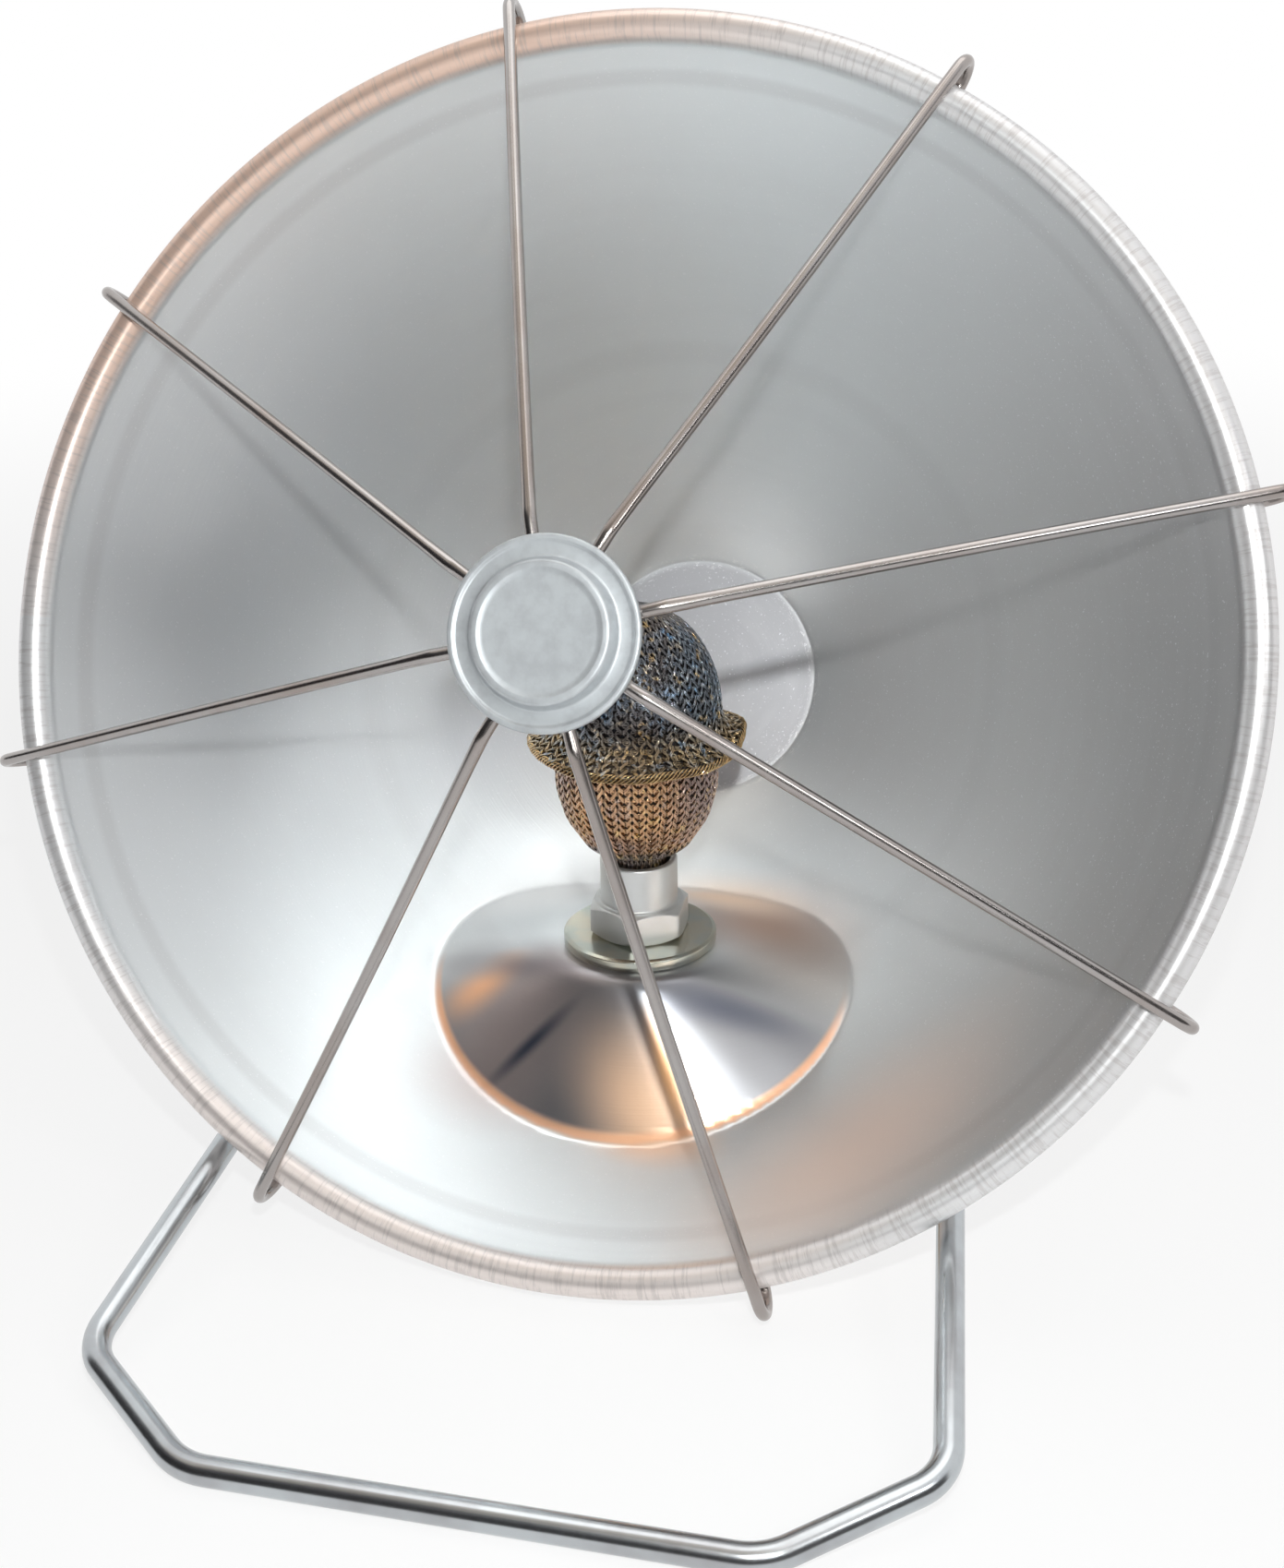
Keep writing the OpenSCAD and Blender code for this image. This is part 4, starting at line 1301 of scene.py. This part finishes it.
@dataclass
class Warp:
    """The brim's wear: how far the skin rises, falls and spreads round the burner.

    A lift or a pull is (length, angle, width) of a bell curve round the burner.
    """

    layout: Layout = LAYOUT
    inner: float = 20.6
    outer: float = 26.2
    dent: float = 0.0
    dent_z: float = 108.2
    lifts: Rows = ((2.6, 0.20, 0.42), (0.5, 3.55, 0.50), (1.0, 1.9, 0.7), (-0.55, -1.25, 0.75))
    pulls: Rows = ((0.55, 0.20, 0.42), (0.35, 3.55, 0.50))

    def place(self, a: Array, r: Array, z: Array) -> Array:
        """Puts points of angle, radius and height round the burner into the row frame.

        Beyond the inner radius a share that grows to 1 at the brim's edge is lifted: most at
        the right, where the hem is curled up, a little at the left and at the back. A shallow
        dent, a bell curve in angle and height, is pressed into the front of the dome's skirt.

        Args:
            a: The angle, in radians.
            r: The radius.
            z: The height.

        Returns:
            Points with a last axis of three.
        """
        share = np.clip((r - self.inner) / (self.outer - self.inner), 0.0, 1.15)
        lift = sum(h * bell(a, c, w) for h, c, w in self.lifts)
        pull = sum(h * bell(a, c, w) for h, c, w in self.pulls)
        z = z + share**1.6 * (lift + 0.22 * np.sin(5 * a + 0.7) + 0.12 * np.sin(11 * a))
        r = r - share * (pull - 0.25 * np.sin(3 * a + 1.0))
        r = r - self.dent * bell(a, -1.05, 0.38) * np.exp(-(((z - self.dent_z) / 3.4) ** 2))
        return np.stack([r * np.cos(a), self.layout.burner_y + r * np.sin(a), z + 0 * a], axis=-1)


@dataclass
class Knit:
    """A knitted skin of doubled wire over a surface of revolution.

    uneven holds how much the stitches, the courses and the wales differ, as shares of a stitch.
    """

    wire_r: float = 0.225
    strands: tuple[float, ...] = (-0.26, 0.26)
    wales: int = 36
    pitch: float = 2.08
    lean: float = 0.325
    rise: float = 0.78
    depth: float = 0.26
    uneven: tuple[float, float, float] = (0.035, 0.025, 0.05)
    probe: float = 0.4
    samples: int = 12
    seed: int = 7

    def skin(self, name: str, meridian: Array, shape: Warp) -> Thing:
        """Knits along a meridian.

        Stitch u of a course lies at s = course * pitch along the meridian and at the angle
        2 pi u / wales. Within a stitch of phase t the yarn shifts sideways by lean * sin 2t of
        a stitch, along the meridian by rise * cos t of a course, and off the surface by
        -depth * cos 2t. So the two legs of each loop lie outside and lean together like a
        chevron, and its head and foot pass behind the loops of the next courses. Radius and
        height are kept as one complex number, so the normal is the slope times -i.

        Args:
            name: The piece's name.
            meridian: Array of n by 2: radius and height.
            shape: How the worn skin departs from a true surface of revolution.

        Returns:
            The knitted piece.
        """
        line = meridian @ np.array([1, 1j])
        run = np.concatenate([[0.0], np.cumsum(np.abs(np.diff(line)))])
        rows, double = int(run[-1] / self.pitch), len(self.strands)
        pitch, wale = run[-1] / rows, TAU / self.wales
        rng = np.random.default_rng(self.seed)
        jitter = rng.standard_normal((rows, 2)).repeat(double, axis=0)
        stitch = rng.standard_normal((rows, self.wales)).repeat(double, axis=0)
        stitch = stitch.repeat(self.samples, axis=1)
        t = np.arange(self.wales * self.samples) / self.samples * TAU
        course = np.repeat(np.arange(rows) + 0.5, double)[:, None]
        loose, apart, aside = self.uneven
        s = pitch * (course - self.rise * (1 + loose * stitch) * np.cos(t))
        s = s + np.tile(self.strands, rows)[:, None] + apart * pitch * jitter[:, :1]
        s = np.clip(s, 0.0, run[-1])
        slope = np.interp(s + self.probe, run, line) - np.interp(s - self.probe, run, line)
        out = -1j * slope / (np.abs(slope) + TINY)
        at = np.interp(s, run, line) - self.depth * np.cos(2 * t) * out
        a = t / self.wales + wale * (self.lean * np.sin(2 * t) + aside * jitter[:, 1:])
        normal = np.stack([out.real * np.cos(a), out.real * np.sin(a), out.imag], axis=-1)
        return wire_loops(name, shape.place(a, at.real, at.imag), normal, self.wire_r, 0.5)


@dataclass
class Burner:
    """The knitted cup, dome and brim on the tube."""

    layout: Layout = LAYOUT
    cup_r: float = 19.4
    neck_r: float = 6.8
    heel_r: float = 12.6
    dome_r: float = 20.4
    brim_r: float = 26.2
    side_h: float = 6.2
    hem_wire_r: float = 0.2
    hem_strands: int = 6
    hem_winds: int = 24
    hem_points: int = 1440
    knit_inset: float = 0.46
    shade_liner_inset: float = 0.85
    shade_liner_gap: float = 0.35
    knit: Knit = field(default_factory=Knit)

    def cup_meridian(self, inset: float) -> Array:
        """From the neck under the cup, over its heel, up its side and out to the brim.

        Args:
            inset: Distance inside the cup's skin.

        Returns:
            Array of n by 2.
        """
        z, brim = self.layout.tube_z, self.layout.brim_z
        corners = [
            (self.neck_r - inset, z - 2.5, 0.0), (self.neck_r - inset, z + 2.2, 1.6),
            (self.heel_r - inset, z + 4.4, 1.6), (17.3 - inset, z + 11.6, 9.0),
            (self.cup_r - inset, z + 19.0, 14.0), (self.cup_r - inset, brim - 1.9, 1.4),
            (self.brim_r - 0.9, brim - 1.2, 0.0),
        ]
        return refine(rounded_profile(corners, 8.0), 1.0)

    def dome_meridian(self, inset: float) -> Array:
        """From the brim's edge in to the dome's side and over its top.

        Args:
            inset: Distance inside the dome's skin.

        Returns:
            Array of n by 2.
        """
        r, brim = self.dome_r - inset, self.layout.brim_z
        base = brim + self.side_h
        a = np.linspace(0.0, np.pi / 2 - 0.02, 44)
        high = self.layout.dome_z - base - inset
        over = np.stack([r * np.cos(a), base + high * np.sin(a)], axis=-1)
        corners = [
            (self.brim_r - 0.4, brim + 0.3, 0.0), (r + 2.6, brim + 1.7, 3.0),
            (r + 0.5, brim + 4.4, 3.0), (r, base, 0.0),
        ]
        return refine(np.concatenate([rounded_profile(corners, 12.0)[:-1], over]), 1.0)

    def hem(self, shape: Warp) -> Thing:
        """The folded hem: strands of wire that wind round the brim's edge.

        Strand k goes round the burner while it turns about the hem's own centre line, an oval
        that is higher than wide in section and follows the brim's wear.

        Args:
            shape: The brim's wear.

        Returns:
            The hem.
        """
        a = around(self.hem_points)
        wind = self.hem_winds * a + around(self.hem_strands)[:, None]
        wide, high = 0.62 + 0.1 * np.sin(36 * a), 0.95 + 0.45 * bell(a, 0.2, 0.5)
        r = self.brim_r - 0.85 + wide * np.cos(wind)
        z = self.layout.brim_z - 0.35 + high * np.sin(wind)
        return wire_loops("brim_hem", shape.place(a, r, z), EZ, self.hem_wire_r)

    def build(self) -> list[Piece]:
        """Makes the knitted skins, the near-black sheets of painted shade that back them, and the
        hem.

        Returns:
            The pieces.
        """
        flat, dented = Warp(), Warp(dent=1.5)
        parts = (
            ("cup", self.cup_meridian, flat, Finish.CUP),
            ("dome", self.dome_meridian, dented, Finish.DOME),
        )
        made = []
        for part, meridian, shape, finish in parts:
            skin = self.knit.skin(f"knit_{part}", meridian(self.knit_inset), shape)
            made.append(Piece(skin, f"{part}_mesh", finish, (f"mesh_{part}",)))
        for part, meridian, shape, _ in parts:
            # a near-black sheet of painted shade inside the knit: the meridian there and, a little
            # inside, back
            there = meridian(self.shade_liner_inset)
            back = np.maximum(there[::-1] - [self.shade_liner_gap, 0.0], [0.02, 0.0])
            r, z = np.hsplit(np.concatenate([there, back]), 2)
            shade_liner = surface(f"{part}_liner", shape.place(around(108), r, z), True)
            made.append(Piece(shade_liner, f"{part}_mesh", Finish.SHADE_LINER))
        return made + [Piece(self.hem(flat), "brim_steel", Finish.BRIM, ("brim_ring",))]


@dataclass
class Stand:
    """The two bent wire loops; a run is how far a foot bar stands from its pivot on the floor."""

    layout: Layout = LAYOUT
    rod_r: float = 3.0
    front_run: float = 145.0
    rear_run: float = 71.0

    def loop(
        self, name: str, half: Sequence[tuple[float, float, float]], pivot_y: float, slope: float
    ) -> Thing:
        """One loop, drawn in its own plane and then sloped about its pivot.

        Args:
            name: The piece's name.
            half: Corners (x, distance from the pivot, bend radius) from one end to the foot bar.
            pivot_y: Where the pivot stands.
            slope: Angle below the horizontal, in radians; its sign gives the side.

        Returns:
            The loop.
        """
        corners = list(half) + [(-x, y, r) for x, y, r in reversed(half)]
        x, far = refine(rounded_profile(corners, 5.0), 6.0).T
        c, s = np.cos(slope), np.sin(slope)
        path = np.stack([x, pivot_y + far * c, self.layout.pivot_z + far * s], axis=-1)
        return tube(name, path, self.rod_r, np.array([0.0, -s, c]), 28)

    def build(self) -> list[Piece]:
        """Makes the front and the rear loop.

        Returns:
            The loops.
        """
        drop = self.layout.pivot_z - self.rod_r
        front, rear = np.hypot(self.front_run, drop), np.hypot(self.rear_run, drop)
        front_half = [(60, 0, 0), (76, 0, 8), (88, 23.6 - front, 12), (57.3, -front, 16)]
        rear_half = [(70, 0, 0), (52, 0, 8), (60, rear - 18, 12), (42, rear, 12)]
        made = []
        for side, half, y, slope in (
            ("front", front_half, self.layout.front_pivot_y, np.arctan2(drop, self.front_run)),
            ("rear", rear_half, self.layout.rear_pivot_y, -np.arctan2(drop, self.rear_run)),
        ):
            body = f"{side}_leg"
            thing = self.loop(f"{side}_loop", half, y, slope)
            made.append(Piece(thing, "leg_chrome", Finish.ROD, (body,), body))
        return made


@dataclass
class Fittings:
    """The pieces under the bowl that keep their own solids."""

    finishes: tuple[tuple[Finish, str], ...] = (
        (Finish.HUB, "guard_hub_back"),
        (Finish.INNER, "neck_ferrule flame_spreader"),
        (Finish.PLATE, "stand_bracket spring_washer lock_nut valve_spindle knob_screw"),
        (Finish.BRASS, "injector valve_body packing_nut hose_tail"),
        (Finish.RUBBER, "spindle_o_ring inlet_seal"),
        (Finish.KNOB, "control_knob"),
        (Finish.CLIP, "front_leg_clips rear_leg_clips"),
    )

    def build(self) -> list[Piece]:
        """Dresses the kept solids; their facets are welded for shading and split at their edges.

        Returns:
            Nothing new, as the solids are in the scene already.
        """
        for finish, names in self.finishes:
            for name in names.split():
                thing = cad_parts[name]
                dress(thing, finish.material())
                thing.modifiers.new("weld", "WELD").merge_threshold = 1e-6
                faces = thing.data.polygons
                faces.foreach_set("use_smooth", np.ones(len(faces), bool))
                crisp_edges(thing, 28.0)
                LOG.info("%s keeps its solid, %s", name, finish.name)
        return []


# The studio ----------------------------------------------------------------


@dataclass
class Studio:
    """Camera, lights, floor and surroundings."""

    focal_px: float = 2204.75
    centre_px: tuple[float, float] = (673.6, 796.6)
    size_px: tuple[int, int] = (1391, 1699)
    sensor: float = 36.0
    place: tuple[float, float, float] = (108.195, -402.64, 273.34)
    right: tuple[float, float, float] = (0.970117, 0.241634, -0.022062)
    up: tuple[float, float, float] = (-0.066111, 0.350715, 0.934146)
    back: tuple[float, float, float] = (0.233459, -0.904772, 0.356209)
    open_level: float = 0.16
    floor_half: float = 6000.0
    card_far: float = 1500.0
    card_centre: tuple[float, float, float] = (0.0, 0.0, 100.0)
    card_grid: tuple[int, int] = (9, 25)
    cards: tuple[tuple, ...] = (
        ("card_low", 0.0, 13.0, 170.0, 34.0, (0.035, 0.033, 0.035)),
        ("card_left", -40.0, 37.5, 90.0, 15.0, (0.08, 0.08, 0.085)),
        ("card_right", 25.0, 37.5, 40.0, 15.0, (0.45, 0.40, 0.34)),
        ("card_far_right", 65.0, 37.5, 40.0, 15.0, (0.80, 0.80, 0.84)),
        ("card_high_left", -65.0, 55.0, 40.0, 20.0, (0.72, 0.66, 0.60)),
        ("card_high", -15.0, 55.0, 60.0, 20.0, (0.38, 0.34, 0.30)),
        ("card_high_right", 35.0, 55.0, 40.0, 20.0, (0.88, 0.84, 0.80)),
        ("card_top", -10.0, 77.0, 100.0, 24.0, (0.76, 0.70, 0.61)),
    )
    lamps: tuple[tuple, ...] = (
        ("key", (1.2, -1.4, 1.15), (0.0, 0.0, 0.13), 1.3, 6.5, (1.0, 0.97, 0.94)),
        ("top", (0.1, 0.3, 2.0), (0.0, 0.0, 0.1), 1.6, 9.0, (1.0, 0.98, 0.96)),
        ("front", (0.205, -0.379, 0.271), (0.0, 0.02, 0.12), 0.07, 0.10, (0.96, 1.0, 1.0)),
        ("flash", (0.112, -0.378, 0.330), (0.0, 0.02, 0.12), 0.012, 1.1, (0.97, 1.0, 1.0)),
        ("side", (0.393, -0.295, 0.360), (0.0, 0.02, 0.12), 0.09, 0.25, (0.98, 1.0, 1.0)),
    )

    def camera(self) -> None:
        """Puts the camera where the photograph was taken from."""
        data = bpy.data.cameras.new("camera")
        wide, high = self.size_px
        data.sensor_width = self.sensor
        data.lens = self.focal_px / max(wide, high) * self.sensor
        data.shift_x = (wide / 2 - self.centre_px[0]) / max(wide, high)
        data.shift_y = (self.centre_px[1] - high / 2) / max(wide, high)
        data.clip_start, data.clip_end = 0.01, 20.0
        turn = Matrix((self.right, self.up, self.back)).transposed().to_4x4()
        turn.translation = Vector(self.place) * MM
        thing = add_object("camera", data)
        thing.matrix_world = turn
        bpy.context.scene.camera = thing

    def lamp(
        self, name: str, place: Point, aim: Point, size: float, watts: float, colour: Colour
    ) -> None:
        """Adds one square soft light.

        Args:
            name: The lamp's name.
            place: Where it stands, in metres.
            aim: Where it points.
            size: Its side, in metres.
            watts: Its power.
            colour: Its colour.
        """
        data = bpy.data.lights.new(name, "AREA")
        data.size, data.energy, data.color = size, watts, colour
        thing = add_object(name, data)
        thing.location = place
        thing.rotation_mode = "QUATERNION"
        thing.rotation_quaternion = (Vector(aim) - Vector(place)).to_track_quat("-Z", "Y")

    def surroundings(self) -> None:
        """A world that is white to the eye and in reflections, and softer as a light."""
        world = bpy.data.worlds.new("surroundings")
        bpy.context.scene.world = world
        b = Bench("surroundings", world)
        level = b.seen().ramp(0.0, 1.0, False) * (1.0 - self.open_level) + self.open_level
        shade = b.node("ShaderNodeBackground", None, {"Color": WHITE, "Strength": level})
        b.node("ShaderNodeOutputWorld", None, {"Surface": shade["Background"]})

    def floor(self) -> None:
        """A wide pale floor that keeps the heater's shadow and looks white to the camera."""
        corners = np.array([[-1, -1, 0], [1, -1, 0], [1, 1, 0], [-1, 1, 0]]) * self.floor_half
        thing = link_mesh("floor", corners - [0, 0, 0.02], np.array([[0, 1, 2, 3]]), False)
        b = Bench("pale_floor")
        base = b.node("ShaderNodeBsdfDiffuse", None, {"Color": (0.95, 0.95, 0.95)})["BSDF"]
        p = b.place()
        away = (p["X"] * p["X"] + p["Y"] * p["Y"]).root().ramp(0.35, 1.2)
        mask = b.seen() * (away * 0.20 + 0.80)
        shade = b.node("ShaderNodeMixShader", None, {0: mask, 1: base, 2: b.glow(WHITE)})["Shader"]
        dress(thing, b.output(shade))

    def card(
        self, name: str, turn: float, rise: float, width: float, height: float, level: Colour
    ) -> None:
        """Adds a card that only reflections see, as a studio sets grey cards round bright metal.

        The card is a patch of a sphere round the heater, even in both angles.

        Args:
            name: The card's name.
            turn: Degrees from straight in front of the heater towards its right.
            rise: Degrees above the floor.
            width: Degrees that it covers sideways.
            height: Degrees that it covers upwards.
            level: Its brightness.
        """
        rows, cols = self.card_grid
        a = np.radians(turn + width * np.linspace(-0.5, 0.5, cols))[None, :]
        e = np.radians(rise + height * np.linspace(-0.5, 0.5, rows))[:, None]
        ball = np.stack([np.sin(a) * np.cos(e), -np.cos(a) * np.cos(e), np.sin(e) + 0 * a], axis=-1)
        points = (self.card_far * ball).reshape(-1, 3) + self.card_centre
        thing = link_mesh(name, points, grid_faces(rows, cols, False, False), False)
        b = Bench(name)
        dress(thing, b.output(b.glow(level)))
        for ray in ("camera", "diffuse", "shadow", "transmission"):
            setattr(thing, f"visible_{ray}", False)

    def build(self) -> None:
        """Sets the stage."""
        self.camera()
        self.surroundings()
        self.floor()
        for card in self.cards:
            self.card(*card)
        for lamp in self.lamps:
            self.lamp(*lamp)
        bpy.context.scene.view_settings.view_transform = "Standard"


def main() -> None:
    """Builds the studio, then each sub-assembly in order."""
    logging.basicConfig(level=logging.INFO, format="%(name)s: %(message)s")
    Studio().build()
    for part in (Bowl(), Guard(), BurnerFoot(), Burner(), Stand(), Fittings()):
        for piece in part.build():
            piece.settle()


if __name__ == "__main__":
    main()
